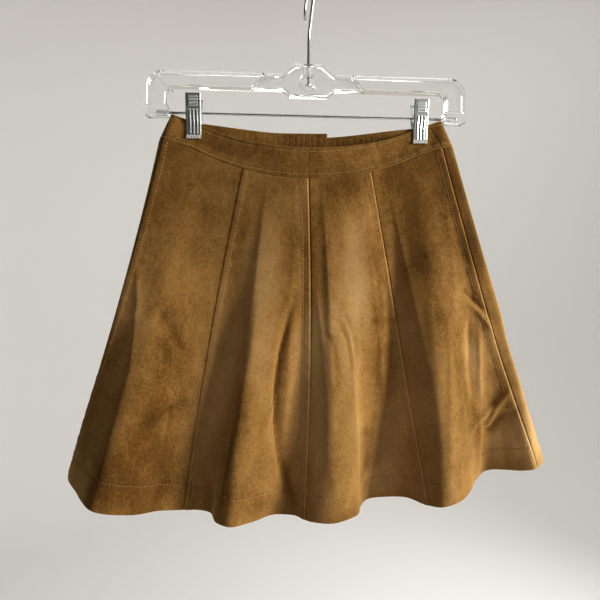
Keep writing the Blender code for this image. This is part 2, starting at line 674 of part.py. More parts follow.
def build_hook(look, sides=10):
    """A round wire along the path, with a flat head on its lower end. Its inner top is the origin."""
    head_top = SHANK_END_Z + HEAD_HEIGHT
    stops = [((0.0, SHANK_END_Z), HEAD_RADIUS), ((0.0, head_top), HEAD_RADIUS)]
    stops += [((0.0, head_top + HEAD_SLOPE), WIRE_RADIUS)]
    stops += [(point, WIRE_RADIUS) for point in hook_path()]
    line = np.array([stop[0] for stop in stops])
    tangent = np.gradient(line, axis=0)
    tangent /= np.linalg.norm(tangent, axis=1)[:, None]
    forward = np.array([math.sin(HOOK_TURN), -math.cos(HOOK_TURN), 0.0])
    aside = np.array([math.cos(HOOK_TURN), math.sin(HOOK_TURN), 0.0])
    up = np.array([0.0, 0.0, 1.0])
    points, faces = [], []
    for (centre, radius), (along_forward, along_up) in zip(stops, tangent):
        middle = centre[0] * forward + centre[1] * up
        across = -along_up * forward + along_forward * up
        for k in range(sides):
            angle = 2 * math.pi * k / sides
            points.append(middle + radius * (math.cos(angle) * across + math.sin(angle) * aside))
    for row in range(len(stops) - 1):
        for k in range(sides):
            here, after = row * sides + k, row * sides + (k + 1) % sides
            faces.append([here, after, after + sides, here + sides])
    faces += [list(range(sides)), list(range(len(points) - sides, len(points)))]
    hook = mesh_object("hanger_hook", points, faces, look, smooth=True)
    face_outward(hook.data)


def sheet_outline(profile, thick):
    """A sheet of even thickness on an open profile: the profile, then its outer side back to the start."""
    line = np.array(profile)
    along = np.gradient(line, axis=0)
    along /= np.linalg.norm(along, axis=1)[:, None]
    outer = line + thick * np.stack([-along[:, 1], along[:, 0]], axis=1)
    return [tuple(point) for point in line] + [tuple(point) for point in outer[::-1]]


def build_clip_bore(name, look, middle):
    """The cutter of the hole that the hanger's rod runs through."""
    reach = CLIP_HALF + THROUGH
    return rod(name, look, "x", (0, ROD_Z), middle - reach, middle + reach, SPRING_BORE, sides=20)


def build_clip(side_name, side, look):
    """Two bent sheets with ears round the rod, and a spring between them."""
    middle = side * CLIP_X
    for face_name, face, cheek_x in (("front", -1, CHEEK_FRONT_X), ("back", 1, CHEEK_BACK_X)):
        outline = [(face * y, z) for y, z in sheet_outline(CLIP_PROFILE, CLIP_SHEET)]
        name = f"clip_{side_name}_{face_name}"
        sheet = prism(name, look, outline, "x", middle - CLIP_HALF, middle + CLIP_HALF)
        near, far = sorted((face * (CLIP_PROFILE[3][0] + CLIP_SHEET / 2), -face * CHEEK_REACH))
        for end in (-1, 1):
            low_x, high_x = sorted((middle + end * cheek_x, middle + end * (cheek_x + CHEEK)))
            low = (low_x, near, ROD_Z - CHEEK_HALF_HEIGHT)
            high = (high_x, far, ROD_Z + CHEEK_HALF_HEIGHT)
            combine(sheet, "UNION", block(f"{name}_cheek_{end + 1}", look, low, high))
        combine(sheet, "DIFFERENCE", build_clip_bore(f"{name}_bore", look, middle))
    low_x, high_x = middle - SPRING_HALF, middle + SPRING_HALF
    spring = rod(f"clip_{side_name}_spring", look, "x", (0, ROD_Z), low_x, high_x, SPRING_RADIUS)
    combine(spring, "DIFFERENCE", build_clip_bore(f"clip_{side_name}_spring_bore", look, middle))


def main():
    clear_scene()
    suede = material("suede", (0.40, 0.215, 0.095), 0.9)
    tape = material("zip_tape", (0.33, 0.18, 0.085), 0.85)
    brass = material("zip_metal", (0.55, 0.42, 0.22), 0.35, 1.0)
    plastic = material("clear_plastic", (0.86, 0.88, 0.88), 0.1)
    steel = material("bright_steel", (0.72, 0.72, 0.72), 0.18, 1.0)
    cloth = Cloth()
    build_gores(cloth, suede)
    build_band(cloth, suede)
    build_tapes(cloth, tape)
    axis_y, axis_z = build_slider(brass)
    build_pull(brass, axis_y, axis_z)
    build_stud(cloth, brass)
    build_hanger_body(plastic)
    rod("hanger_rod", steel, "x", (0, ROD_Z), -ROD_HALF, ROD_HALF, ROD_RADIUS, sides=16)
    build_hook(steel)
    for side_name, side in SIDES:
        build_clip(side_name, side, steel)


main()
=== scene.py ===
"""A suede skirt on a clear clip hanger: the looks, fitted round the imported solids.

Metres, +Z up. The front of the skirt faces -Y, and the origin is the inner top of the hanger's hook.
"""

import math

import bmesh
import bpy
import numpy as np
from mathutils import Matrix, Vector


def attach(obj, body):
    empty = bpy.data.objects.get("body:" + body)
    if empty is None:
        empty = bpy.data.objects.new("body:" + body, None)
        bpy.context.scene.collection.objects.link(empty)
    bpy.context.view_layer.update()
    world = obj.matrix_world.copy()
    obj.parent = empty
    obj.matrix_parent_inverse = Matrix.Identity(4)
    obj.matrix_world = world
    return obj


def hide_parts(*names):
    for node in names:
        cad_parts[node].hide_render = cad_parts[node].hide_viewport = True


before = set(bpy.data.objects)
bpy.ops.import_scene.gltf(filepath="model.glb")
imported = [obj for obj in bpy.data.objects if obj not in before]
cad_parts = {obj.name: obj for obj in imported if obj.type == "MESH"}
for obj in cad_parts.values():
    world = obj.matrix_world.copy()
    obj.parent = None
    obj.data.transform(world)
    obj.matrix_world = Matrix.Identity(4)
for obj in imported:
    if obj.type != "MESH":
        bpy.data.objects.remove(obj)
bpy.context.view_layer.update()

# The camera
# It stands half a metre in front of the hips, a little to the left, and is turned to the skirt's middle,
# with the slight tilt of a camera held by hand.

camera_data = bpy.data.cameras.new("camera")
camera_data.lens = 27.0
camera_data.sensor_width = 36.0
camera = bpy.data.objects.new("camera", camera_data)
bpy.context.scene.collection.objects.link(camera)
camera_place = Vector((-0.0328, -0.5073, -0.3468))
camera_forward = Vector((0.04885, 0.99877, -0.00873)).normalized()
camera_tilt = Matrix.Rotation(math.radians(0.35), 4, "Z")
camera_turn = camera_forward.to_track_quat("-Z", "Y").to_matrix().to_4x4()
camera.matrix_world = Matrix.Translation(camera_place) @ camera_turn @ camera_tilt
bpy.context.scene.camera = camera

# The room
# A plain pale floor that rises in a bend into a pale wall. Its profile is turned about the Z axis, so that
# it looks the same from all sides.

ROOM_RADIUS = 2.4
ROOM_FLOOR, ROOM_TOP = -1.35, 2.2
ROOM_BEND = 0.8  # radius of the bend between floor and wall
ROOM_SIDES = 96  # flat strips round it


def grid_quads(rows, columns):
    """Quads between the points of a grid, numbered along its rows, facing the viewer if rows run down."""
    index = np.arange(rows * columns).reshape(rows, columns)
    corners = (index[:-1, :-1], index[1:, :-1], index[1:, 1:], index[:-1, 1:])
    return np.stack(corners, axis=-1).reshape(-1, 4)


def new_piece(name, shapes, looks, outward=True):
    """One mesh object of several shapes. Each is its points, its faces, and which of the looks they wear.

    Points in the same place are made one, and a closed shape's faces are turned outward.
    """
    starts = np.cumsum([0] + [len(points) for points, _, _ in shapes])
    points = np.concatenate([shape[0] for shape in shapes])
    faces = np.concatenate([shape[1] + start for shape, start in zip(shapes, starts)])
    wears = np.concatenate([np.zeros(len(shape[1]), int) + shape[2] for shape in shapes])
    mesh = bpy.data.meshes.new(name)
    mesh.from_pydata(points.tolist(), [], faces.tolist())
    for look in looks:
        mesh.materials.append(look)
    mesh.polygons.foreach_set("material_index", wears.astype(np.int32))
    tidy = bmesh.new()
    tidy.from_mesh(mesh)
    bmesh.ops.remove_doubles(tidy, verts=tidy.verts, dist=1e-7)
    if outward:
        bmesh.ops.recalc_face_normals(tidy, faces=tidy.faces)
    tidy.to_mesh(mesh)
    tidy.free()
    mesh.shade_smooth()
    mesh.set_sharp_from_angle(angle=math.radians(40))
    piece = bpy.data.objects.new(name, mesh)
    bpy.context.scene.collection.objects.link(piece)
    return piece


def new_look(name, colour, roughness, metallic=0.0):
    """A material with one shader, and its nodes and links ready to add to."""
    look = bpy.data.materials.new(name)
    look.use_nodes = True
    nodes, links = look.node_tree.nodes, look.node_tree.links
    shader = nodes["Principled BSDF"]
    shader.inputs["Base Color"].default_value = (*colour, 1.0)
    shader.inputs["Roughness"].default_value = roughness
    shader.inputs["Metallic"].default_value = metallic
    return look, nodes, links, shader


def room_surface():
    """A profile of radius and height, across the floor, round the bend and up, turned about the Z axis."""
    bend = np.linspace(0.0, math.pi / 2, 17)
    floor_end = ROOM_RADIUS - ROOM_BEND
    radius = np.concatenate([[0.0, floor_end / 2], floor_end + ROOM_BEND * np.sin(bend), [ROOM_RADIUS]])
    height = np.concatenate([[ROOM_FLOOR] * 2, ROOM_FLOOR + ROOM_BEND * (1 - np.cos(bend)), [ROOM_TOP]])
    turn = np.linspace(0.0, 2 * math.pi, ROOM_SIDES + 1)[None, :]
    x, y = radius[:, None] * np.cos(turn), radius[:, None] * np.sin(turn)
    grid = np.stack([x, y, np.broadcast_to(height[:, None], x.shape)], axis=-1)
    return grid.reshape(-1, 3), grid_quads(*x.shape)[:, ::-1], 0


room_look = new_look("pale_wall", (0.79, 0.785, 0.79), 0.9)[0]
room = new_piece("room", [room_surface()], [room_look], outward=False)

# The light
# A small lamp far to the right, level with the waist, rakes across the cloth. A soft one lights the back and
# two wide ones wash the walls, under an even warm sky. A dark card stands to the left of the camera and
# behind it, hidden from it, so that the bright steel and the clear plastic have something dark to reflect.


def soft_light(name, place, aim, width, height, power, colour):
    """A rectangular lamp at a place, facing a point."""
    data = bpy.data.lights.new(name, "AREA")
    data.shape = "RECTANGLE"
    data.size, data.size_y = width, height
    data.energy = power
    data.color = colour
    lamp = bpy.data.objects.new(name, data)
    bpy.context.scene.collection.objects.link(lamp)
    direction = Vector(aim) - Vector(place)
    lamp.visible_camera = False
    lamp.matrix_world = Matrix.Translation(place) @ direction.to_track_quat("-Z", "Y").to_matrix().to_4x4()
    return lamp


SKIRT_MIDDLE = (0.05, 0.0, -0.40)
CARD_FOOT_Z, CARD_HEIGHT = -1.2, 2.5
soft_light("window", (1.20, -0.50, -0.20), SKIRT_MIDDLE, 0.25, 0.6, 25.0, (0.98, 1.0, 0.94))
soft_light("wall_wash", (0.35, 0.75, 1.3), (0.6, 2.4, -0.5), 1.6, 0.6, 8.0, (1.0, 0.99, 0.97))
soft_light("front_wall_wash", (0.0, -1.50, 1.3), (0.0, -2.4, -0.5), 1.6, 0.6, 9.0, (1.0, 0.99, 0.97))
soft_light("back_window", (1.15, 0.80, -0.05), (0.0, 0.05, -0.40), 0.8, 0.9, 10.0, (1.0, 0.98, 0.93))
card_feet = np.array([(-1.70, 0.50, CARD_FOOT_Z), (-1.60, -1.15, CARD_FOOT_Z), (0.75, -1.45, CARD_FOOT_Z)])
card_corners = np.concatenate([card_feet, card_feet + [0.0, 0.0, CARD_HEIGHT]])
card_faces = np.array([[0, 1, 4, 3], [1, 2, 5, 4]])
card_look = new_look("dark_card", (0.03, 0.03, 0.03), 0.9)[0]
card = new_piece("dark_card", [(card_corners, card_faces, 0)], [card_look], outward=False)
card.visible_camera = False
card.visible_shadow = False
card.visible_transmission = False
sky = bpy.data.worlds.new("sky")
sky.use_nodes = True
sky.node_tree.nodes["Background"].inputs["Color"].default_value = (1.0, 0.91, 0.78, 1.0)
sky.node_tree.nodes["Background"].inputs["Strength"].default_value = 0.43
bpy.context.scene.world = sky
bpy.context.scene.view_settings.view_transform = "Standard"
bpy.context.scene.view_settings.look = "Medium High Contrast"

# The gores
# Eight flared pieces of imitation suede, bonded to a knitted back, joined by topstitched seams and hemmed
# with a turned and stitched edge. They hang in flutes. The cloth is one closed surface, read by its place
# round the skirt (0 to 8, one for each gore) and its height (-1 at the band's top, 0 under it, 1 at the hem).

CLOTH = 0.0011  # thickness of one layer
GORE_LENGTH, SIDE_EXTRA = 0.379, 0.005  # seam to hem, and how much more at the sides, or less at the centres
TOP_HALF, SEAM_HALF = 0.152, 0.165  # half the band's width as it hangs, at its top edge and at its seam
CLIP_X = 0.127  # from the skirt's middle to each clip
CLIP_TOP_Z, CLIP_SEAM_Z = -0.1545, -0.1860  # the band's top edge and its seam at the clips
# how far the band hangs below that between the clips, and rises at the sides: at its top edge, at its seam
FRONT_SAG, BACK_SAG, CORNER_RISE = (0.0290, 0.0315), (0.0070, 0.0080), (0.0080, 0.0110)
FRONT_BULGE, BACK_BULGE = 0.0140, 0.0120  # how far its front and back stand from the middle plane
FLAT_FROM, FLAT_TO = 0.117, 0.1375  # from x to x it lies flat, under a clip
BAND_CLOTH, GAP = 0.0020, 0.0003
PINCHED, UNPINCHED = BAND_CLOTH + GAP / 2, 0.0065  # a face from the middle plane, in a clip and at the seam
PINCH_ENDS = 0.6  # the share of the band's depth that the clip holds
LOOP_TOP, LOOP_SEAM = 0.0036, 0.0075  # radius of the bend at each side
RING_POINTS, HEM_STEPS = 401, 24  # points of a layer of the band's ring, and between two turns of the hem

# layer, x at the band's top, at its seam and at the hem, the sway halfway down, how far from the seam its
# topstitching runs, and on which of the two gores that it joins (-1 before it, 1 after it)
SEAMS = (
    ("front", -0.1475, -0.1600, -0.2630, 0.0080, 0.0065, 1),
    ("front", -0.0670, -0.0725, -0.1330, -0.0045, 0.0065, 1),
    ("front", 0.0000, 0.0000, -0.0020, 0.0045, 0.0080, -1),
    ("front", 0.0645, 0.0700, 0.1370, 0.0035, 0.0065, -1),
    ("front", 0.1370, 0.1515, 0.2690, -0.0050, 0.0075, -1),
    ("back", 0.0810, 0.0880, 0.1560, 0.0000, 0.0065, 1),
    ("back", 0.0000, 0.0000, 0.0000, 0.0000, 0.0000, 0),
    ("back", -0.0810, -0.0880, -0.1420, 0.0000, 0.0065, -1),
)

# x, y and how late each fold grows down the skirt, at the hem's turns from the left side round the front
HEM_TURNS = (
    (-0.2630, 0.0020, 1.2),
    (-0.2410, -0.0330, 1.4),
    (-0.2090, -0.0650, 1.5),
    (-0.1800, -0.0500, 1.6),
    (-0.1550, -0.0240, 1.6),
    (-0.1060, -0.0120, 2.4),
    (-0.0970, -0.0330, 2.4),
    (-0.0830, -0.0410, 1.5),
    (-0.0600, -0.0270, 1.2),
    (-0.0340, -0.0070, 1.2),
    (-0.0160, -0.0085, 1.6),
    (0.0040, -0.0240, 2.2),
    (0.0300, -0.0295, 1.2),
    (0.0455, -0.0225, 1.1),
    (0.0570, -0.0140, 1.0),
    (0.0640, 0.0050, 0.9),
    (0.0750, 0.0190, 0.9),
    (0.0950, 0.0200, 0.9),
    (0.1180, 0.0130, 0.9),
    (0.1350, -0.0110, 1.1),
    (0.1490, -0.0235, 1.2),
    (0.1700, -0.0205, 1.6),
    (0.1895, -0.0040, 2.0),
    (0.2030, 0.0140, 2.8),
    (0.2150, 0.0230, 3.5),
    (0.2690, -0.0020, 1.8),
    (0.2820, 0.0080, 1.3),
    (0.2360, 0.0710, 1.3),
    (0.1640, 0.0400, 1.2),
    (0.0940, 0.0750, 1.3),
    (0.0300, 0.0390, 1.2),
    (-0.0380, 0.0740, 1.3),
    (-0.1000, 0.0350, 1.2),
    (-0.1640, 0.0750, 1.3),
    (-0.2200, 0.0400, 1.2),
    (-0.2560, 0.0260, 1.2),
)

# how many places further round a fold lies at the top than at the hem, by place
LEAN = (
    (0.00, -0.60), (0.45, -0.05), (1.00, -0.05), (1.40, -0.05), (1.80, 0.30), (2.20, 0.00),
    (2.35, 0.12), (2.75, 0.58), (3.20, 0.40), (3.60, 0.60), (3.85, 0.70), (4.10, 0.30),
    (4.35, 0.05), (5.00, -0.15), (6.00, 0.00), (7.00, 0.15), (7.50, -0.30), (8.00, -0.60),
)

# Folds and creases laid on that surface: a line of places and heights, how far the fold reaches to its left
# and right of the line, and how far it stands out.
FOLDS = (
    ((0.04, 0.32), (0.24, 0.46), (0.41, 0.64), (0.47, 1.00), 0.007, 0.014, 0.0026),
    ((0.24, 0.51), (0.30, 0.50), (0.36, 0.49), (0.41, 0.48), 0.004, 0.005, -0.0010),
    ((0.28, 0.55), (0.45, 0.52), (0.62, 0.54), (0.80, 0.61), 0.006, 0.010, 0.0012),
    ((0.42, 0.46), (0.56, 0.49), (0.70, 0.53), (0.84, 0.57), 0.006, 0.007, -0.0020),
    ((0.55, 0.60), (0.62, 0.57), (0.70, 0.55), (0.80, 0.54), 0.004, 0.005, -0.0012),
    ((0.52, 0.79), (0.66, 0.75), (0.80, 0.71), (0.96, 0.69), 0.004, 0.005, -0.0020),
    ((0.62, 0.86), (0.74, 0.82), (0.86, 0.80), (0.97, 0.79), 0.005, 0.006, -0.0014),
    ((0.78, 0.68), (0.80, 0.80), (0.82, 0.90), (0.83, 0.99), 0.010, 0.012, -0.0034),
    ((1.30, 0.70), (1.32, 0.80), (1.31, 0.90), (1.30, 0.99), 0.009, 0.003, -0.0030),
    ((1.44, 0.32), (1.44, 0.52), (1.40, 0.74), (1.30, 0.98), 0.007, 0.016, 0.0024),
    (
        (1.86, 0.30), (1.77, 0.42), (1.71, 0.52), (1.695, 0.62), (1.725, 0.74), (1.785, 0.85), (1.89, 0.99),
        0.0025, 0.0075, -0.0056,
    ),
    ((2.06, 0.30), (2.11, 0.46), (2.14, 0.62), (2.15, 0.85), 0.005, 0.016, 0.0018),
    ((2.10, 0.45), (2.17, 0.47), (2.21, 0.51), (2.22, 0.58), 0.0025, 0.003, -0.0006),
    ((2.18, 0.41), (2.28, 0.43), (2.35, 0.48), (2.38, 0.57), 0.0025, 0.003, -0.0012),
    ((2.30, 0.40), (2.38, 0.43), (2.44, 0.47), (2.47, 0.54), 0.0025, 0.003, -0.0008),
    ((2.40, 0.56), (2.40, 0.70), (2.40, 0.82), (2.42, 0.94), 0.008, 0.006, 0.0012),
    ((2.78, 0.40), (2.70, 0.58), (2.62, 0.76), (2.52, 0.96), 0.004, 0.012, -0.0026),
    ((3.88, 0.10), (3.82, 0.24), (3.72, 0.38), (3.62, 0.50), 0.008, 0.012, 0.0012),
    ((3.62, 0.42), (3.42, 0.62), (3.27, 0.78), (3.16, 0.98), 0.006, 0.012, 0.0020),
    ((3.50, 0.84), (3.60, 0.82), (3.70, 0.81), (3.86, 0.78), 0.003, 0.0025, 0.0040),
    ((3.68, 0.86), (3.76, 0.83), (3.86, 0.79), (4.00, 0.75), 0.004, 0.0025, 0.0036),
    ((3.62, 0.86), (3.74, 0.86), (3.86, 0.83), (4.00, 0.81), 0.007, 0.004, -0.0034),
    ((3.67, 0.81), (3.63, 0.87), (3.59, 0.93), (3.56, 0.99), 0.008, 0.0025, 0.0034),
    ((3.85, 0.84), (3.84, 0.90), (3.82, 0.95), (3.80, 1.00), 0.004, 0.005, -0.0022),
    ((3.58, 0.48), (3.55, 0.60), (3.50, 0.72), (3.47, 0.84), 0.010, 0.004, 0.0022),
    ((3.82, 0.48), (3.73, 0.57), (3.66, 0.66), (3.64, 0.76), 0.004, 0.005, -0.0030),
    ((3.90, 0.52), (3.82, 0.61), (3.74, 0.70), (3.70, 0.77), 0.005, 0.003, 0.0024),
    ((3.68, 0.42), (3.82, 0.43), (3.92, 0.47), (4.00, 0.52), 0.003, 0.0035, -0.0026),
    ((3.80, 0.46), (3.90, 0.49), (3.96, 0.53), (4.00, 0.57), 0.003, 0.0025, 0.0020),
    ((3.90, 0.30), (3.92, 0.33), (3.95, 0.35), (3.99, 0.36), 0.003, 0.003, -0.0010),
    ((3.88, 0.42), (3.92, 0.44), (3.95, 0.45), (3.99, 0.45), 0.003, 0.003, -0.0010),
    ((3.90, 0.52), (3.93, 0.53), (3.96, 0.53), (3.99, 0.54), 0.003, 0.003, -0.0009),
    ((3.90, 0.66), (3.93, 0.65), (3.96, 0.65), (3.99, 0.64), 0.003, 0.003, -0.0009),
    ((4.10, 0.50), (4.14, 0.65), (4.16, 0.80), (4.16, 0.98), 0.012, 0.016, -0.0028),
    ((4.60, 0.30), (4.62, 0.52), (4.60, 0.74), (4.60, 0.98), 0.012, 0.008, 0.0024),
    ((5.20, 0.08), (5.24, 0.30), (5.26, 0.55), (5.24, 0.90), 0.008, 0.012, -0.0026),
    ((5.60, 0.42), (5.64, 0.56), (5.62, 0.74), (5.56, 0.96), 0.008, 0.004, -0.0028),
    ((6.30, 0.12), (6.34, 0.34), (6.33, 0.60), (6.32, 0.92), 0.012, 0.008, 0.0022),
    ((6.62, 0.46), (6.70, 0.60), (6.72, 0.76), (6.66, 0.97), 0.004, 0.008, -0.0030),
    ((7.16, 0.06), (7.20, 0.26), (7.24, 0.50), (7.22, 0.80), 0.012, 0.010, -0.0024),
    ((7.50, 0.66), (7.58, 0.70), (7.66, 0.72), (7.76, 0.73), 0.005, 0.005, -0.0012),
)


def mix(a, b, share):
    """The straight way from a to b: a plus a share of their difference."""
    return a + (b - a) * share


def smoothstep(share):
    """A smooth step from 0 to 1: three times the share's square less twice its cube."""
    share = np.clip(share, 0.0, 1.0)
    return share * share * (3 - 2 * share)


def waist_ring(level):
    """The closed ring at a level, from the band's top edge (0) to its seam (1): front, then back.

    Its depth is a bulge between the clips, a pinch at each clip and a loop at each end. Its height is a
    parabola between the clips, and a straight rise beyond them.
    """
    half, loop = mix(TOP_HALF, SEAM_HALF, level), mix(LOOP_TOP, LOOP_SEAM, level)
    x = -half * np.cos(np.linspace(0.0, math.pi, RING_POINTS))
    out = abs(x)
    pinch = mix(PINCHED, UNPINCHED, smoothstep((level - PINCH_ENDS) / (1 - PINCH_ENDS)))
    inside = np.clip(out / FLAT_FROM, 0.0, 1.0)
    outside = smoothstep((out - FLAT_TO) / (half - FLAT_TO - loop))
    closing = np.sqrt(1 - np.clip((out - half + loop) / loop, 0.0, 1.0) ** 2)
    between = np.clip(out / CLIP_X, 0.0, 1.0)
    rise = mix(*CORNER_RISE, level) * np.clip((out - CLIP_X) / (half - CLIP_X), 0.0, 1.0)
    layers = []
    for side, bulge, sag in ((-1, FRONT_BULGE, FRONT_SAG), (1, BACK_BULGE, BACK_SAG)):
        depth = (pinch + (bulge - pinch) * (1 - inside**2) ** 2 + (loop - pinch) * outside) * closing
        height = mix(CLIP_TOP_Z, CLIP_SEAM_Z, level) - mix(*sag, level) * (1 - between**2) + rise
        layers.append(np.stack([x, side * depth, height], axis=1))
    return np.concatenate([layers[0], layers[1][-2:0:-1]])


def hem_ring():
    """A smooth closed curve through the hem's turns, a cubic between each two."""
    turns = np.array(HEM_TURNS)
    ahead = np.roll(turns, -1, axis=0)
    chord = np.linalg.norm((ahead - turns)[:, :2], axis=1)[:, None]
    slope = (ahead - turns) / chord
    chord_before, slope_before = np.roll(chord, 1, axis=0), np.roll(slope, 1, axis=0)
    tangent = (slope_before * chord + slope * chord_before) / (chord + chord_before)
    leave, arrive = tangent * chord, np.roll(tangent, -1, axis=0) * chord
    t = np.linspace(0.0, 1.0, HEM_STEPS, endpoint=False)[None, :, None]
    curve = (
        turns[:, None] * (2 * t**3 - 3 * t**2 + 1)
        + leave[:, None] * (t**3 - 2 * t**2 + t)
        + ahead[:, None] * (3 * t**2 - 2 * t**3)
        + arrive[:, None] * (t**3 - t**2)
    )
    return curve.reshape(-1, 3)


def by_place(curve, seam_x):
    """Reads a closed curve by place: each gore's stretch of it is walked evenly from seam to seam."""
    closed = np.concatenate([curve, curve[:1]])
    walked = np.concatenate([[0.0], np.cumsum(np.linalg.norm(np.diff(closed[:, :2], axis=0), axis=1))])
    right_fold = int(np.argmax(curve[:, 0]))
    stations = []
    for seam, x in zip(SEAMS, seam_x):
        first, last = (0, right_fold + 1) if seam[0] == "front" else (right_fold, len(curve))
        stations.append(walked[first + int(np.argmin(abs(curve[first:last, 0] - x)))])
    stations.append(stations[0] + walked[-1])

    def read(place):
        """The curve's points at a grid of places."""
        at = np.interp(np.mod(place, len(SEAMS)), np.arange(len(SEAMS) + 1), stations) % walked[-1]
        return np.stack([np.interp(at, walked, closed[:, k]) for k in range(3)], axis=-1)

    return read


hem_at = by_place(hem_ring(), [seam[3] for seam in SEAMS])
waist_at = {}


def band_at(level, place):
    """Points of the band at a level, by place. Each level's ring is worked out once and kept."""
    if level not in waist_at:
        waist_at[level] = by_place(waist_ring(level), [mix(seam[1], seam[2], level) for seam in SEAMS])
    return waist_at[level](place)


def cloth_points(place, height):
    """The cloth's face, for a grid of places with one height for each row.

    Below the band, x and z run straight to the hem but for the sway, and y's share of the way is height to
    the power of its growth.
    """
    points = np.empty((*place.shape, 3))
    for row in np.flatnonzero(height < 0):
        points[row] = band_at(round(float(1 + height[row]), 6), place[row])
    low = height >= 0
    place, height = place[low], height[low][:, None]
    top, hem = band_at(1.0, place), hem_at(place)
    length = GORE_LENGTH + SIDE_EXTRA * np.cos(math.pi * place / 2)
    reach = hem[..., :2] - top[..., :2]
    drop = np.sqrt(length**2 - (reach**2).sum(axis=-1))
    sway = np.interp(place % len(SEAMS), np.arange(len(SEAMS) + 1), [seam[4] for seam in SEAMS + SEAMS[:1]])
    lean = np.interp(place % len(SEAMS), *zip(*LEAN))
    x = top[..., 0] + reach[..., 0] * height + sway * np.sin(math.pi * height)
    fold = hem_at(place - lean * (1 - height))
    y = top[..., 1] + (fold[..., 1] - top[..., 1]) * height ** fold[..., 2]
    points[low] = np.stack([x, y, top[..., 2] - drop * height], axis=-1)
    return points


def unit(vectors):
    """Each vector divided by its length."""
    return vectors / np.linalg.norm(vectors, axis=-1, keepdims=True)


def cloth_frame(place, height, step=0.002):
    """The face's points, and unit vectors across it, down it and out of it, from points close by."""
    across = cloth_points(place + step, height) - cloth_points(place - step, height)
    below, above = np.minimum(height + 2 * step, 1.0), np.maximum(height - 2 * step, -1.0)
    down = cloth_points(place, below) - cloth_points(place, above)
    return cloth_points(place, height), unit(across), unit(down), unit(np.cross(down, across))


PLACE_WIDTHS = (0.085, 0.175)  # about how wide one place is, under the band and at the hem
LINE_IN, LINE_OUT_FROM, LINE_OUT_OVER = 0.3, 1.15, 0.45  # a line comes in and runs out over these shares


def fall_along(place, height, line, reach_left, reach_right, edge):
    """1 on a line of places and heights, falling off to each side, and running out at its two ends.

    It falls as the exponential of the distance over the reach. edge is the radius of its rounded top.
    """
    width = mix(*PLACE_WIDTHS, height)
    line = np.array(line)
    closest = np.full(place.shape, 1e9)
    share, side = np.zeros(place.shape), np.zeros(place.shape)
    for k, (start, end) in enumerate(zip(line, line[1:])):
        to_end = ((end[0] - start[0]) * width, (end[1] - start[1]) * GORE_LENGTH)
        to_point = ((place - start[0]) * width, (height - start[1]) * GORE_LENGTH)
        squared = to_end[0] ** 2 + to_end[1] ** 2
        along = np.clip((to_point[0] * to_end[0] + to_point[1] * to_end[1]) / squared, 0.0, 1.0)
        away = np.hypot(to_point[0] - along * to_end[0], to_point[1] - along * to_end[1])
        turn = np.sign(to_point[0] * to_end[1] - to_point[1] * to_end[0])
        nearer = away < closest
        closest = np.where(nearer, away, closest)
        share = np.where(nearer, (k + along) / (len(line) - 1), share)
        side = np.where(nearer, turn, side)
    reach = np.where(side < 0, reach_left, reach_right)
    fall = np.exp(-(np.hypot(closest, edge) - edge) / reach)
    return smoothstep(share / LINE_IN) * smoothstep((LINE_OUT_FROM - share) / LINE_OUT_OVER) * fall


def laid_on(place, height, rows, edge):
    """The sum of all rows of a table on the cloth, each its line, its two reaches and its size."""
    return sum(size * fall_along(place, height, line, left, right, edge) for *line, left, right, size in rows)


def wobble(walk, seed):
    """An uneven wave along a seam: three waves of unlike lengths added up, from -1 to 1."""
    waves = ((0.0173, 0.45), (0.0097, 0.35), (0.0061, 0.20))  # the length and the share of each
    total = 0.0
    for k, (length, share) in enumerate(waves):
        total = total + share * np.sin(2 * math.pi * walk / length + seed * (k + 1.7))
    return total


FOLD_EDGE, MARK_EDGE, LINE_EDGE = 0.0014, 0.0100, 0.0030  # how round the top is of a fold, of a mark of nap and painted light, and of a line of painted crease shade
SEAM_SINK, SEAM_ROLL = 0.0004, 0.0006  # how deep a gore's edge turns in at a seam, and over what width
TOP_SINK, TOP_ROLL = 0.0006, 0.0009  # the same under the band
SWELL, SWELL_IN, SWELL_OUT = 0.0006, 0.002, 0.0025  # the rise over a seam's allowances, and its two slopes
ALLOWANCE, ALLOWANCE_CLOTH, ALLOWANCE_GAP = 0.0120, 0.0009, 0.0001
HEM_ALLOWANCE, HEM_FOLD = 0.0280, 0.0012  # the hem's turn, and the outer radius of its fold
STITCH_SINK, STITCH_BED = 0.00055, 0.0011  # the bed that a row of stitches lies in: depth, and half width
HEM_STITCH = 0.0270  # above the hem's edge
SEAM_PUCKER, SEAM_PUCKER_OUT = 0.00036, 0.006  # small puckers beside a row of stitches, and their reach
HEM_PUCKER, HEM_PUCKER_OUT = 0.00022, 0.009

# The rows of a gore's grid down its face and up its turned hem, and its columns in from a seam, closer
# together where the cloth bends
FACE_ROWS, MIDDLE_COLUMNS, TURN_ROWS = 144, 50, 10
FINE_STEPS = 160  # in which a gore's width is measured
edge_millimetres = (0.06, 0.4, 0.9, 1.4, 2.0, 2.8, 3.8, 4.8, 5.5, 6.1, 6.5, 6.9, 7.5, 8.1, 9.0, 10.4, 12.0)
edge_steps = np.array(edge_millimetres) / 1000
top_steps = np.array([0.06, 0.5, 1.1, 1.7, 2.5, 3.6]) / 1000
hem_steps = np.array([-4.5, -3, -2, -1.2, -0.6, 0, 0.6, 1.2, 2, 3, 4.5]) / 1000
face_walk = np.concatenate(
    [
        top_steps,
        np.linspace(0.005, GORE_LENGTH - HEM_STITCH - 0.007, FACE_ROWS),
        GORE_LENGTH - HEM_STITCH + hem_steps,
        GORE_LENGTH - HEM_STITCH + np.linspace(0.0065, HEM_STITCH - 0.0025, 8),
        [GORE_LENGTH - HEM_FOLD],
    ]
)
face_heights = face_walk / GORE_LENGTH
hem_row = len(top_steps) + FACE_ROWS + len(hem_steps) // 2  # the row that the hem's stitches lie in
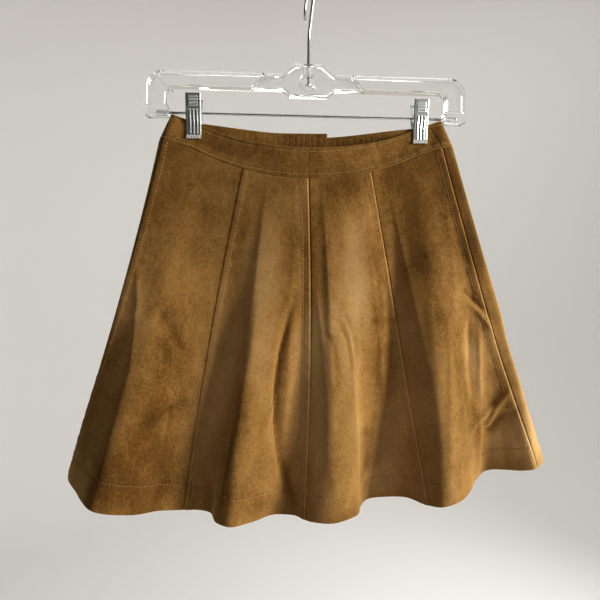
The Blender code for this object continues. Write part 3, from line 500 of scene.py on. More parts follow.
turn_heights = 1 - np.linspace(HEM_FOLD, HEM_ALLOWANCE, TURN_ROWS + 1)[1:] / GORE_LENGTH


def columns_across(number, heights):
    """Places across a gore at each height, close together near its seams, and their distances from both."""
    fine = np.linspace(number, number + 1, FINE_STEPS + 1)
    points = cloth_points(np.tile(fine, (len(heights), 1)), heights)
    steps = np.linalg.norm(np.diff(points, axis=1), axis=-1)
    walked = np.concatenate([np.zeros((len(heights), 1)), np.cumsum(steps, axis=1)], axis=1)
    widths = walked[:, -1:]
    inner = np.linspace(0.0, 1.0, MIDDLE_COLUMNS + 2)[1:-1]
    start, end = edge_steps[-1], widths - edge_steps[-1]
    left = np.broadcast_to(edge_steps, (len(heights), len(edge_steps)))
    from_left = np.concatenate([left, start + (end - start) * inner, widths - edge_steps[::-1]], axis=1)
    places = np.stack([np.interp(row, walk, fine) for row, walk in zip(from_left, walked)])
    return places, from_left, widths - from_left


def seam_relief(distance, walk, stitched_at, seed):
    """A gore's edge at a seam: it rolls in, and where it's topstitched it swells over the allowances.

    The row of stitches lies in a bed, with small puckers between it and the seam.
    """
    relief = -SEAM_SINK * np.exp(-((distance / SEAM_ROLL) ** 2))
    if stitched_at:
        rise = smoothstep(distance / SWELL_IN)
        relief += SWELL * (rise * (1 - smoothstep((distance - stitched_at) / SWELL_OUT)))
        relief -= 0.7 * STITCH_SINK * np.exp(-(((distance - stitched_at) / STITCH_BED) ** 2))
        puckered = rise * (1 - smoothstep((distance - 0.9 * stitched_at) / SEAM_PUCKER_OUT))
        relief += SEAM_PUCKER * wobble(walk, seed) * puckered
    return relief


def wall_shape(outer, inner, inside_look=0):
    """A closed wall between two grids of points, with a look of its own for its inner face."""
    rows, columns = outer.shape[:2]
    count = rows * columns
    index = np.arange(count).reshape(rows, columns)
    rim = np.concatenate([index[0], index[1:, -1], index[-1, -2::-1], index[-2:0:-1, 0]])
    after = np.roll(rim, -1)
    faces = grid_quads(rows, columns)
    edge = np.stack([rim, after, after + count, rim + count], axis=1)
    wears = np.repeat([0, inside_look, 0], [len(faces), len(faces), len(edge)])
    points = np.concatenate([outer.reshape(-1, 3), inner.reshape(-1, 3)])
    return points, np.concatenate([faces, faces[:, ::-1] + count, edge]), wears


def stitch_row(line, outward, pitch=0.0034, length=0.0026, radius=0.00030):
    """Stitches along a line on the cloth: each is a short thread whose two ends dip into it."""
    steps = np.linalg.norm(np.diff(line, axis=0), axis=1)
    walked = np.concatenate([[0.0], np.cumsum(steps)])
    middles = (np.arange(int(walked[-1] / pitch)) + 0.5) * pitch
    rings, sides = 5, 6

    def at(walk, values):
        """The line's values, read at distances walked along it."""
        return np.stack([np.interp(walk, walked, values[:, k]) for k in range(3)], axis=-1)

    centre, out = at(middles, line), unit(at(middles, outward))
    along = unit(at(middles + length / 2, line) - at(middles - length / 2, line))
    aside = np.cross(along, out)
    t = np.linspace(-1.0, 1.0, rings)[None, :, None, None]
    turn = np.linspace(0.0, 2 * math.pi, sides)[None, None, :, None]
    round_off = radius * np.sqrt(1 - t**4)
    lift = radius * 0.9 - 0.0007 * t**4
    points = (
        centre[:, None, None]
        + along[:, None, None] * t * length / 2
        + aside[:, None, None] * round_off * np.cos(turn)
        + out[:, None, None] * (round_off * np.sin(turn) + lift)
    )
    quads = grid_quads(rings, sides)
    starts = np.arange(len(middles))[:, None, None] * rings * sides
    return points.reshape(-1, 3), (quads[None] + starts).reshape(-1, 4), 0


def add_noise(nodes, links, place, scale, detail=2.0, twist=0.0):
    """A cloudy grey pattern with so many clouds to the metre."""
    noise = nodes.new("ShaderNodeTexNoise")
    noise.inputs["Scale"].default_value = scale
    noise.inputs["Detail"].default_value = detail
    noise.inputs["Distortion"].default_value = twist
    links.new(place, noise.inputs["Vector"])
    return noise.outputs["Fac"]


def add_weave(nodes, links, place, scale, direction="X", twist=0.0):
    """A grey pattern of even bands across X, or slantwise."""
    weave = nodes.new("ShaderNodeTexWave")
    weave.bands_direction = direction
    weave.inputs["Scale"].default_value = scale
    weave.inputs["Distortion"].default_value = twist
    links.new(place, weave.inputs["Vector"])
    return weave.outputs["Fac"]


def add_bump(nodes, links, pattern, strength, depth, target):
    """Turns a grey pattern into relief of a depth in metres, at the target's Normal. Returns the node."""
    bump = nodes.new("ShaderNodeBump")
    bump.inputs["Strength"].default_value = strength
    bump.inputs["Distance"].default_value = depth
    links.new(pattern, bump.inputs["Height"])
    links.new(bump.outputs["Normal"], target.inputs["Normal"])
    return bump


def add_ramp(nodes, links, pattern, dark, pale, shader):
    """Colours the shader from dark to pale by a grey pattern. Returns the ramp, to add colours between."""
    ramp = nodes.new("ShaderNodeValToRGB")
    ramp.color_ramp.elements[0].color = (*dark, 1.0)
    ramp.color_ramp.elements[1].color = (*pale, 1.0)
    links.new(pattern, ramp.inputs["Fac"])
    links.new(ramp.outputs["Color"], shader.inputs["Base Color"])
    return ramp.color_ramp


def suede_look():
    """Brushed suede: a soft sheen over a nap whose tone drifts in clouds, streaks and a fine grain.

    The tone is the sum of four weighted patterns, a shift and the nap attribute, which also carries painted
    shade and painted highlights, read through a ramp.
    """
    look, nodes, links, shader = new_look("caramel_suede", (0.30, 0.15, 0.05), 0.95)
    shader.inputs["Specular IOR Level"].default_value = 0.15
    shader.inputs["Sheen Weight"].default_value = 0.45
    shader.inputs["Sheen Roughness"].default_value = 0.45
    shader.inputs["Sheen Tint"].default_value = (0.95, 0.68, 0.28, 1.0)
    place = nodes.new("ShaderNodeTexCoord").outputs["Object"]
    tone, tone_shift = None, -0.180
    # name, scale of the pattern, stretch along x, y, z, detail, distortion, how much it counts
    drifts = (
        ("clouds", 9.0, (1.0, 1.0, 0.8), 3.0, 2.0, 0.38),
        ("brushing", 34.0, (1.0, 1.0, 0.65), 5.0, 2.0, 0.38),
        ("streaks", 120.0, (1.0, 1.0, 0.14), 3.0, 0.6, 0.10),
        ("grain", 420.0, (1.0, 1.0, 0.8), 2.0, 0.4, 0.50),
    )
    for name, scale, stretch, detail, twist, weight in drifts:
        mapping = nodes.new("ShaderNodeMapping")
        mapping.label = name
        mapping.inputs["Scale"].default_value = stretch
        links.new(place, mapping.inputs["Vector"])
        weigh = nodes.new("ShaderNodeMath")
        weigh.operation = "MULTIPLY_ADD"
        weigh.inputs[1].default_value = weight
        links.new(add_noise(nodes, links, mapping.outputs["Vector"], scale, detail, twist), weigh.inputs[0])
        if tone is None:
            weigh.inputs[2].default_value = tone_shift
        else:
            links.new(tone, weigh.inputs[2])
        tone = weigh.outputs[0]
    # The nap attribute adds the nap's brushing together with painted shade and painted highlights.
    painted_light_and_nap = nodes.new("ShaderNodeAttribute")
    painted_light_and_nap.attribute_name = "nap"
    add_painted_light_and_nap = nodes.new("ShaderNodeMath")
    add_painted_light_and_nap.operation = "ADD"
    links.new(tone, add_painted_light_and_nap.inputs[0])
    links.new(painted_light_and_nap.outputs["Fac"], add_painted_light_and_nap.inputs[1])
    reach = nodes.new("ShaderNodeMapRange")
    reach.inputs["From Min"].default_value = -0.10
    reach.inputs["From Max"].default_value = 1.30
    links.new(add_painted_light_and_nap.outputs[0], reach.inputs["Value"])
    dark, pale = (0.062, 0.026, 0.005), (0.535, 0.340, 0.160)
    tones = add_ramp(nodes, links, reach.outputs["Result"], dark, pale, shader)
    tones.elements.new(0.18).color = (0.126, 0.058, 0.012, 1.0)
    tones.elements.new(0.42).color = (0.262, 0.138, 0.043, 1.0)
    nap = add_bump(nodes, links, add_noise(nodes, links, place, 1500.0), 0.5, 0.0003, shader)
    add_bump(nodes, links, add_noise(nodes, links, place, 42.0, 4.0, 1.2), 0.35, 0.0012, nap)
    return look


def backing_look():
    """The knitted back of the bonded suede: fine ribs, a little paler and flatter than the face."""
    look, nodes, links, shader = new_look("knitted_back", (0.25, 0.135, 0.058), 0.9)
    shader.inputs["Specular IOR Level"].default_value = 0.2
    place = nodes.new("ShaderNodeTexCoord").outputs["Object"]
    ribs = add_weave(nodes, links, place, 260.0, twist=1.5)
    add_bump(nodes, links, ribs, 0.35, 0.0003, shader)
    drift = add_noise(nodes, links, place, 30.0)
    add_ramp(nodes, links, drift, (0.19, 0.098, 0.040), (0.31, 0.175, 0.078), shader)
    return look


def thread_look():
    """Spun thread: a slight sheen over strands that run slantwise."""
    look, nodes, links, shader = new_look("sewing_thread", (0.45, 0.28, 0.135), 0.6)
    shader.inputs["Sheen Weight"].default_value = 0.2
    place = nodes.new("ShaderNodeTexCoord").outputs["Object"]
    strands = add_weave(nodes, links, place, 900.0, "DIAGONAL")
    add_bump(nodes, links, strands, 0.4, 0.0001, shader)
    return look


# Where the tone lies darker or lighter, partly from the nap's brushing and partly as painted shade and painted
# highlights on the flutes and folds: a line of places and heights, its two reaches, and the change
NAP_AND_PAINTED_LIGHT_MARKS = (
    ((2.00, 0.34), (1.96, 0.54), (1.94, 0.74), (1.95, 0.96), 0.009, 0.011, 0.38),
    ((1.86, 0.08), (1.84, 0.22), (1.82, 0.36), (1.77, 0.47), 0.012, 0.010, -0.26),
    ((2.06, 0.30), (2.08, 0.46), (2.10, 0.66), (2.12, 0.95), 0.010, 0.008, 0.40),
    ((2.04, 0.02), (2.06, 0.12), (2.06, 0.22), (2.05, 0.34), 0.008, 0.012, -0.16),
    ((2.35, 0.10), (2.42, 0.30), (2.45, 0.55), (2.42, 0.95), 0.014, 0.010, 0.16),
    ((1.30, 0.10), (1.30, 0.34), (1.26, 0.56), (1.14, 0.84), 0.018, 0.016, 0.32),
    ((3.30, -0.20), (3.36, 0.05), (3.34, 0.20), (3.26, 0.36), 0.028, 0.022, -0.36),
    ((3.78, -0.20), (3.86, 0.05), (3.92, 0.22), (3.96, 0.42), 0.012, 0.024, -0.20),
    ((3.10, 0.10), (3.30, 0.18), (3.46, 0.22), (3.60, 0.30), 0.020, 0.020, -0.10),
    ((4.10, -0.15), (4.10, 0.10), (4.12, 0.30), (4.14, 0.50), 0.012, 0.012, -0.22),
    ((3.78, 0.84), (3.86, 0.87), (3.93, 0.92), (3.96, 0.99), 0.020, 0.026, 0.70),
    ((0.52, 0.44), (0.60, 0.62), (0.70, 0.80), (0.78, 1.00), 0.060, 0.060, -0.32),
    ((0.80, 0.80), (0.84, 0.86), (0.87, 0.92), (0.89, 0.98), 0.016, 0.016, -0.16),
    ((0.40, 0.82), (0.50, 0.86), (0.60, 0.88), (0.70, 0.88), 0.016, 0.016, -0.14),
    ((0.20, 0.45), (0.32, 0.45), (0.46, 0.45), (0.58, 0.43), 0.010, 0.012, -0.16),
    ((1.42, 0.57), (1.43, 0.64), (1.43, 0.70), (1.41, 0.76), 0.004, 0.004, -0.26),
    ((2.95, 0.76), (2.96, 0.83), (2.94, 0.90), (2.93, 0.97), 0.010, 0.010, -0.12),
    ((2.25, 0.52), (2.22, 0.65), (2.21, 0.76), (2.19, 0.90), 0.006, 0.006, -0.16),
    ((2.48, 0.06), (2.48, 0.10), (2.44, 0.14), (2.41, 0.18), 0.008, 0.008, -0.16),
    ((3.98, 0.20), (3.99, 0.28), (3.99, 0.36), (3.98, 0.44), 0.008, 0.010, -0.18),
    ((3.46, 0.42), (3.42, 0.47), (3.35, 0.53), (3.28, 0.60), 0.006, 0.006, -0.16),
    ((1.36, 0.88), (1.48, 0.93), (1.62, 0.96), (1.78, 0.98), 0.014, 0.014, -0.22),
    ((3.48, 0.52), (3.44, 0.70), (3.42, 0.86), (3.40, 0.98), 0.018, 0.016, -0.20),
    ((3.78, 0.54), (3.72, 0.62), (3.68, 0.70), (3.68, 0.78), 0.006, 0.006, 0.36),
    ((3.84, 0.86), (3.80, 0.90), (3.76, 0.95), (3.72, 1.00), 0.008, 0.008, 0.40),
    ((0.08, -0.20), (0.06, 0.04), (0.06, 0.20), (0.08, 0.34), 0.014, 0.016, -0.20),
    ((2.95, 0.62), (2.92, 0.76), (2.86, 0.88), (2.80, 0.99), 0.030, 0.030, 0.26),
    ((1.24, 0.40), (1.16, 0.60), (1.08, 0.80), (1.06, 0.99), 0.020, 0.020, 0.30),
    ((0.16, 0.36), (0.26, 0.48), (0.30, 0.60), (0.28, 0.74), 0.014, 0.016, 0.30),
    ((1.50, 0.06), (1.53, 0.24), (1.54, 0.42), (1.52, 0.58), 0.010, 0.012, 0.14),
    ((2.45, 0.04), (2.56, 0.16), (2.60, 0.30), (2.52, 0.44), 0.016, 0.014, 0.48),
    ((2.42, 0.04), (2.42, 0.12), (2.36, 0.22), (2.28, 0.32), 0.010, 0.010, -0.14),
    ((2.88, 0.10), (2.83, 0.30), (2.76, 0.50), (2.62, 0.76), 0.010, 0.008, -0.44),
    ((2.12, 0.97), (2.24, 1.00), (2.36, 1.00), (2.50, 0.99), 0.012, 0.012, -0.26),
    ((2.60, 0.70), (2.57, 0.80), (2.54, 0.90), (2.50, 1.00), 0.006, 0.005, -0.36),
    ((2.10, 0.04), (2.30, 0.03), (2.55, 0.03), (2.80, 0.04), 0.008, 0.008, -0.24),
    ((3.62, 0.44), (3.59, 0.58), (3.57, 0.70), (3.55, 0.80), 0.005, 0.006, -0.30),
    ((0.80, 0.66), (0.86, 0.65), (0.91, 0.63), (0.96, 0.60), 0.012, 0.012, -0.18),
    ((0.66, 0.08), (0.69, 0.16), (0.72, 0.24), (0.74, 0.32), 0.012, 0.012, -0.16),
    ((1.34, 0.06), (1.36, 0.16), (1.38, 0.26), (1.36, 0.38), 0.007, 0.009, 0.12),
    ((2.58, 0.88), (2.62, 0.92), (2.66, 0.96), (2.70, 1.00), 0.014, 0.012, 0.40),
    ((3.20, 0.10), (3.18, 0.20), (3.12, 0.32), (3.02, 0.44), 0.008, 0.008, 0.22),
    ((3.10, 0.34), (3.06, 0.50), (2.98, 0.66), (2.88, 0.90), 0.022, 0.026, 0.34),
    ((3.27, 0.03), (3.22, 0.13), (3.17, 0.24), (3.11, 0.36), 0.006, 0.008, 0.16),
    ((2.69, 0.68), (2.71, 0.78), (2.71, 0.86), (2.68, 0.94), 0.008, 0.008, 0.14),
    ((3.50, 0.22), (3.47, 0.34), (3.44, 0.44), (3.38, 0.56), 0.012, 0.010, -0.28),
    ((3.68, 0.80), (3.67, 0.86), (3.64, 0.92), (3.61, 0.98), 0.006, 0.006, -0.20),
    ((0.30, 0.94), (0.50, 0.97), (0.70, 0.99), (0.92, 1.00), 0.030, 0.030, -0.20),
    ((0.48, 0.43), (0.62, 0.45), (0.76, 0.46), (0.88, 0.50), 0.016, 0.016, -0.14),
    ((1.13, 0.07), (1.15, 0.17), (1.15, 0.27), (1.09, 0.38), 0.008, 0.008, -0.22),
    ((4.30, 0.20), (4.30, 0.45), (4.28, 0.70), (4.28, 0.98), 0.016, 0.016, 0.14),
    ((4.92, 0.15), (4.90, 0.40), (4.91, 0.70), (4.93, 0.98), 0.016, 0.022, -0.26),
    ((5.36, 0.10), (5.38, 0.35), (5.40, 0.65), (5.40, 0.98), 0.018, 0.014, 0.18),
    ((5.84, 0.30), (5.83, 0.52), (5.81, 0.75), (5.80, 0.98), 0.016, 0.020, -0.24),
    ((6.22, 0.18), (6.25, 0.42), (6.27, 0.68), (6.27, 0.98), 0.016, 0.014, 0.16),
    ((6.66, 0.12), (6.68, 0.36), (6.70, 0.66), (6.70, 0.98), 0.016, 0.022, -0.26),
    ((7.14, 0.16), (7.17, 0.40), (7.18, 0.68), (7.18, 0.98), 0.018, 0.014, 0.16),
    ((7.58, 0.34), (7.62, 0.55), (7.64, 0.76), (7.65, 0.98), 0.014, 0.020, -0.22),
)
TOP_PAINTED_SHADE, TOP_PAINTED_SHADE_OUT = -0.09, 0.45  # painted shade, darkest just under the band, and the height where it has faded out

# Narrow painted shade along creases, in the same form
PAINTED_CREASE_SHADE = (
    (
        (1.88, 0.30), (1.81, 0.40), (1.755, 0.48), (1.73, 0.56), (1.73, 0.64), (1.75, 0.72), (1.79, 0.80),
        0.0030, 0.0055, -0.34,
    ),
    ((1.795, 0.81), (1.83, 0.87), (1.87, 0.93), (1.92, 0.99), 0.0020, 0.0025, -0.24),
    ((0.52, 0.79), (0.66, 0.75), (0.80, 0.71), (0.96, 0.69), 0.0030, 0.0030, -0.16),
    ((0.42, 0.46), (0.56, 0.49), (0.70, 0.53), (0.84, 0.57), 0.0030, 0.0040, -0.14),
    ((0.62, 0.86), (0.74, 0.82), (0.86, 0.80), (0.97, 0.79), 0.0030, 0.0030, -0.08),
    ((1.38, 0.72), (1.36, 0.82), (1.34, 0.90), (1.32, 0.99), 0.0030, 0.0030, -0.30),
    ((2.14, 0.44), (2.20, 0.47), (2.23, 0.53), (2.23, 0.60), 0.0020, 0.0020, -0.20),
    ((2.24, 0.42), (2.33, 0.46), (2.38, 0.54), (2.39, 0.64), 0.0020, 0.0020, -0.20),
    ((2.62, 0.43), (2.73, 0.43), (2.90, 0.44), (3.10, 0.45), 0.0030, 0.0030, -0.16),
    ((3.72, 0.86), (3.82, 0.83), (3.92, 0.80), (4.00, 0.78), 0.0030, 0.0030, -0.34),
    ((3.86, 0.85), (3.84, 0.90), (3.82, 0.95), (3.80, 1.00), 0.0020, 0.0030, -0.24),
    ((3.67, 0.66), (3.65, 0.72), (3.63, 0.78), (3.62, 0.84), 0.0030, 0.0030, -0.24),
)

CENTRE_BACK = 6  # its place
ZIP_DOWN, SEAM_FROM = 0.16625, 0.004  # from the band's seam to the zip's end, and on to the sewn seam
SEAM_HIGHLIGHT, SEAM_HIGHLIGHT_AT, SEAM_HIGHLIGHT_WIDTH = 0.32, 0.0010, 0.0008  # a painted highlight along a seam's raised edge: how pale, how far from the seam, and how wide
# painted shade in the gap on a seam's other side: how dark, and how wide
GAP_SHADE, GAP_SHADE_WIDTH = -0.26, 0.0013


def allowance_shape(face, outward, rows, columns, depth):
    """A seam allowance: a strip of cloth under the face's columns at a seam, at a depth."""
    top = (face - outward * depth)[rows][:, columns]
    return wall_shape(top, top - outward[rows][:, columns] * ALLOWANCE_CLOTH, 1)


def seam_painted_light(distance, stitched_at):
    """At a seam a highlight is painted along the edge that stands up, and shade is painted in the gap beside
    it.
    """
    if stitched_at:
        return SEAM_HIGHLIGHT * np.exp(-(((distance - SEAM_HIGHLIGHT_AT) / SEAM_HIGHLIGHT_WIDTH) ** 2))
    return GAP_SHADE * np.exp(-((distance / GAP_SHADE_WIDTH) ** 2))


def gore_shapes(number):
    """A gore: its face down to the hem's fold, round it and up inside, and the allowances it carries.

    Returns its shapes, the nap with its painted shade and highlights at their points, its rows of stitches,
    and its width at each row.
    """
    place, from_left, from_right = columns_across(number, face_heights)
    points, _, down, outward = cloth_frame(place, face_heights)
    walk = np.broadcast_to(face_walk[:, None], place.shape)
    relief = laid_on(place, face_heights[:, None], FOLDS, FOLD_EDGE)
    before, after = SEAMS[number], SEAMS[(number + 1) % len(SEAMS)]
    left_stitches = before[5] if before[6] == 1 else 0
    right_stitches = after[5] if after[6] == -1 else 0
    relief += seam_relief(from_left, walk, left_stitches, number)
    relief += seam_relief(from_right, walk, right_stitches, number + 1)
    relief -= TOP_SINK * np.exp(-((walk / TOP_ROLL) ** 2))
    from_stitches = walk - (GORE_LENGTH - HEM_STITCH)
    relief -= STITCH_SINK * np.exp(-((from_stitches / STITCH_BED) ** 2))
    hem_wave = wobble(from_left + 0.3 * number, 3.0 + number)
    relief += HEM_PUCKER * hem_wave * np.exp(-((from_stitches / HEM_PUCKER_OUT) ** 2))
    face = points + outward * relief[..., None]

    theta = np.linspace(0.0, math.pi, 9)[1:-1, None, None]
    edge, edge_out, edge_down = face[-1], outward[-1], down[-1]
    round_fold = edge_out * np.cos(theta) + edge_down * np.sin(theta)
    fold_centre = edge - edge_out * HEM_FOLD
    turn_rows = [int(np.argmin(abs(face_heights - height))) for height in turn_heights]
    turned = face[turn_rows] - outward[turn_rows] * 2 * HEM_FOLD
    outer = np.concatenate([face, fold_centre + round_fold * HEM_FOLD, turned])
    slack = HEM_FOLD - CLOTH
    inner = np.concatenate(
        [face - outward * CLOTH, fold_centre + round_fold * slack, turned + outward[turn_rows] * CLOTH]
    )
    shapes = [wall_shape(outer, inner, 1)]
    # The nap values: the nap's brushing, painted shade and highlights on the flutes, painted shade in creases
    # and under the band, and painted light at the seams.
    nap = laid_on(place, face_heights[:, None], NAP_AND_PAINTED_LIGHT_MARKS, MARK_EDGE)
    nap += laid_on(place, face_heights[:, None], PAINTED_CREASE_SHADE, LINE_EDGE)
    nap += TOP_PAINTED_SHADE * (1 - smoothstep(face_heights[:, None] / TOP_PAINTED_SHADE_OUT))
    nap += seam_painted_light(from_left, left_stitches) + seam_painted_light(from_right, right_stitches)
    nap = np.concatenate([nap, np.tile(nap[-1], (len(outer) - len(face), 1))])
    nap_and_painted_light = [nap.ravel(), nap.ravel()]

    # The centre back's allowances are pressed open below the zip. At a topstitched seam both lie on one side.
    rows = slice(1, hem_row)
    if number in (CENTRE_BACK - 1, CENTRE_BACK):
        below_zip = slice(int(np.argmax(face_heights > (ZIP_DOWN + SEAM_FROM) / GORE_LENGTH)), hem_row)
        columns = slice(1, 15) if number == CENTRE_BACK else slice(-15, -1)
        shapes.append(allowance_shape(face, outward, below_zip, columns, CLOTH + ALLOWANCE_GAP))
    second = CLOTH + ALLOWANCE_CLOTH + 2 * ALLOWANCE_GAP
    stitches = []
    for stitched, columns, narrower, from_end in (
        (left_stitches, slice(1, 16), slice(1, 15), False),
        (right_stitches, slice(-16, -1), slice(-15, -1), True),
    ):
        if stitched:
            shapes.append(allowance_shape(face, outward, rows, columns, CLOTH + ALLOWANCE_GAP))
            shapes.append(allowance_shape(face, outward, rows, narrower, second))
            column = int(np.argmin(abs(edge_steps - stitched)))
            column = -1 - column if from_end else column
            stitches.append(stitch_row(face[2:-2, column], outward[2:-2, column]))
    stitches.append(stitch_row(face[hem_row], outward[hem_row], radius=0.00018))
    nap_and_painted_light += [np.zeros(len(points)) for points, _, _ in shapes[1:]]
    return shapes, np.concatenate(nap_and_painted_light), stitches, (from_left + from_right)[:, 0]


suede = suede_look()
backing = backing_look()
thread = thread_look()
gore_names = (
    "front_left_side",
    "front_left_centre",
    "front_right_centre",
    "front_right_side",
    "back_right_side",
    "back_right_centre",
    "back_left_centre",
    "back_left_side",
)
for number, name in enumerate(gore_names):
    shapes, nap, stitches, widths = gore_shapes(number)
    gore = new_piece(f"{name}_gore", shapes, [suede, backing], outward=False)
    # The nap attribute also carries painted shade and painted highlights.
    attribute = gore.data.attributes.new("nap", "FLOAT", "POINT")
    attribute.data.foreach_set("value", nap.astype(np.float32))
    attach(gore, "skirt")
    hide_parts(f"gore_{name}")
    sewing = new_piece(f"{name}_topstitching", stitches, [thread])
    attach(sewing, "skirt")

# The waistband
# Shaped bands of two layers of the suede with interfacing between, joined at the centre front and the sides
# and topstitched along both edges. The left back band runs on as a tab inside the right one.

BAND_DEPTH = 0.034
BAND_FOLD = BAND_CLOTH / 2
BAND_STITCHES = (0.0045, BAND_DEPTH - 0.0048)  # below its top edge
BAND_BED, BAND_PUCKER, BAND_PUCKER_OUT = 0.0008, 0.00022, 0.004  # beside its rows of stitches
BAND_SINK, BAND_ROLL = 0.0005, 0.0009  # how far its lower edge turns in, and over what width
BAND_COLUMNS = 90  # to one place
END_STEPS = np.array([0.0, 0.004, 0.009, 0.016, 0.026])
END_REACH, END_GAP, END_SINK, END_ROLL = 0.04, 0.0015, 0.0002, 0.0006  # at the seams between bands
TAB_STEP, DROP_FROM, DROP_OVER = 0.0035, 4.6, 1.4  # how far the right back band drops, and where
UNDERLAP, UNDERLAP_SINK = 0.0240, 0.0043  # the tab's length past the centre back, and how far in it lies
TAB_IN = 6.01  # the place up to which it lies in
TAB_TURN_SEAM, TAB_TURN_TOP = 0.12, 0.55  # over how many places it comes out, at its seam and at its top
TAB_END = CENTRE_BACK - UNDERLAP / SEAMS[5][2]

down_the_band = np.concatenate(
    [
        [BAND_FOLD, 0.0018, 0.0027, 0.0034, 0.0039, 0.0042, 0.0045, 0.0048, 0.0051, 0.0057, 0.0068],
        np.linspace(0.0085, BAND_STITCHES[1] - 0.0022, 12),
        BAND_STITCHES[1] + np.array([-0.0012, -0.0006, -0.0003, 0, 0.0003, 0.0006, 0.0012, 0.0020, 0.0028]),
        BAND_DEPTH - np.array([0.0014, 0.0009, 0.0005, 0.00015]),
    ]
)


def band_shape(first, last, inward=None, lower=None):
    """A band: a closed profile, up the inside, over the top edge and down the face, carried along it."""
    even = np.linspace(first, last, int((last - first) * BAND_COLUMNS))
    between = even[(even > first + END_REACH) & (even < last - END_REACH)]
    places = np.concatenate([first + END_STEPS + END_GAP, between, last - END_STEPS[::-1] - END_GAP])
    heights = down_the_band / BAND_DEPTH - 1
    place = np.tile(places, (len(heights), 1))
    points, _, down, outward = cloth_frame(place, heights)
    if inward is not None:
        points = points - outward * inward(place, heights[:, None])[..., None]
    if lower is not None:
        points = points + down * lower(place, heights[:, None])[..., None]
    walk = down_the_band[:, None]
    length = np.linalg.norm(np.diff(points, axis=1), axis=-1).mean(axis=0)
    along = np.concatenate([[0.0], np.cumsum(length)])[None, :]
    relief = -BAND_SINK * np.exp(-(((BAND_DEPTH - walk) / BAND_ROLL) ** 2))
    for row in BAND_STITCHES:
        puckers = BAND_PUCKER * wobble(along, first + row * 900)
        relief = relief - STITCH_SINK * np.exp(-(((walk - row) / BAND_BED) ** 2))
        relief = relief + puckers * np.exp(-(((walk - row) / BAND_PUCKER_OUT) ** 2))
    near_end = np.minimum(along, along[:, -1:] - along)
    relief = relief - END_SINK * np.exp(-((near_end / END_ROLL) ** 2))
    face = points + outward * relief[..., None]
    ribs = 0.00022 * wobble(along * 2.6, first + 5.0) * smoothstep((walk - 0.0015) / 0.004)
    inside = points - outward * (BAND_CLOTH + 0.4 * relief + ribs)[..., None]
    theta = np.linspace(0.0, math.pi, 7)[1:-1, None, None]
    middle = (face[0] + inside[0]) / 2
    over = middle - outward[0] * np.cos(theta) * BAND_FOLD - down[0] * np.sin(theta) * BAND_FOLD
    profile = np.concatenate([inside[::-1], over, face])
    return profile, face, outward, along[0]


def loop_shape(profile):
    """A closed profile's grid joined from its last row to its first, with its two ends filled."""
    rows, columns = profile.shape[:2]
    closed = np.concatenate([profile, profile[:1]])
    half = (rows + 1) // 2
    index = np.arange(rows * columns).reshape(rows, columns)
    caps = []
    for column in (0, columns - 1):
        up, back = index[:half, column], index[::-1][: rows - half, column]
        width = min(len(up), len(back))
        caps.append(np.stack([up[: width - 1], up[1:width], back[1:width], back[: width - 1]], axis=1))
    return closed.reshape(-1, 3), np.concatenate([grid_quads(rows + 1, columns), *caps]), 0


def right_back_drop(place, height):
    """The right back band's top edge runs lower towards the centre back."""
    return TAB_STEP * smoothstep((place - DROP_FROM) / DROP_OVER) * smoothstep(-height)


def underlap_sink(place, height):
    """The tab steps inward before the centre back, more gently towards its top edge."""
    over = mix(TAB_TURN_SEAM, TAB_TURN_TOP, -height)
    return UNDERLAP_SINK * smoothstep((TAB_IN + over - place) / over)


# name, the places it runs between, how much darker its tone lies (its nap runs across the grain, and painted
# shade darkens it as the light falls off towards the top), and how it leaves the cloth's form
bands = (
    ("front_left", 0, 2, -0.22, None, None),
    ("front_right", 2, 4, -0.26, None, None),
    ("back_right", 4, CENTRE_BACK, -0.22, None, right_back_drop),
    ("back_left", TAB_END, 8, -0.22, underlap_sink, None),
)
for name, first, last, darker_nap_and_shade, inward, lower in bands:
    profile, face, outward, along = band_shape(first, last, inward, lower)
    band = new_piece(f"{name}_waistband", [loop_shape(profile)], [suede])
    # The band's darker tone is partly its nap across the grain and partly painted shade.
    nap = band.data.attributes.new("nap", "FLOAT", "POINT")
    nap.data.foreach_set("value", np.full(len(band.data.vertices), darker_nap_and_shade, dtype=np.float32))
    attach(band, "skirt")
    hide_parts(f"band_{name}")
    rows = [int(np.argmin(abs(down_the_band - row))) for row in BAND_STITCHES]
    stitches = [stitch_row(face[row], outward[row]) for row in rows]
    sewing = new_piece(f"{name}_waistband_topstitching", stitches, [thread])
    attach(sewing, "skirt")

# The hanger's body
# Moulded in one piece from clear styrene: an I-section with ribs, a round window under the hook, and feet
# that hold the rod. Its edges are slightly eased, as they leave the mould.

SHARP = math.radians(32)  # an edge that turns further than this is eased


def eased_copy(node, name, edge, look):
    """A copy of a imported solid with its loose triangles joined, its flat faces whole and its edges eased."""
    shape = bmesh.new()
    shape.from_mesh(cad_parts[node].data)
    bmesh.ops.remove_doubles(shape, verts=shape.verts, dist=2e-6)
    bmesh.ops.dissolve_limit(shape, angle_limit=math.radians(1.0), verts=shape.verts, edges=shape.edges)
    sharp = [e for e in shape.edges if e.is_manifold and e.calc_face_angle() > SHARP]
    bmesh.ops.bevel(
        shape, geom=sharp, offset=edge, segments=2, profile=0.6, affect="EDGES", clamp_overlap=True
    )
    mesh = bpy.data.meshes.new(name)
    shape.to_mesh(mesh)
    shape.free()
    mesh.materials.append(look)
    mesh.shade_smooth()
    mesh.set_sharp_from_angle(angle=SHARP)
    piece = bpy.data.objects.new(name, mesh)
    bpy.context.scene.collection.objects.link(piece)
    return piece


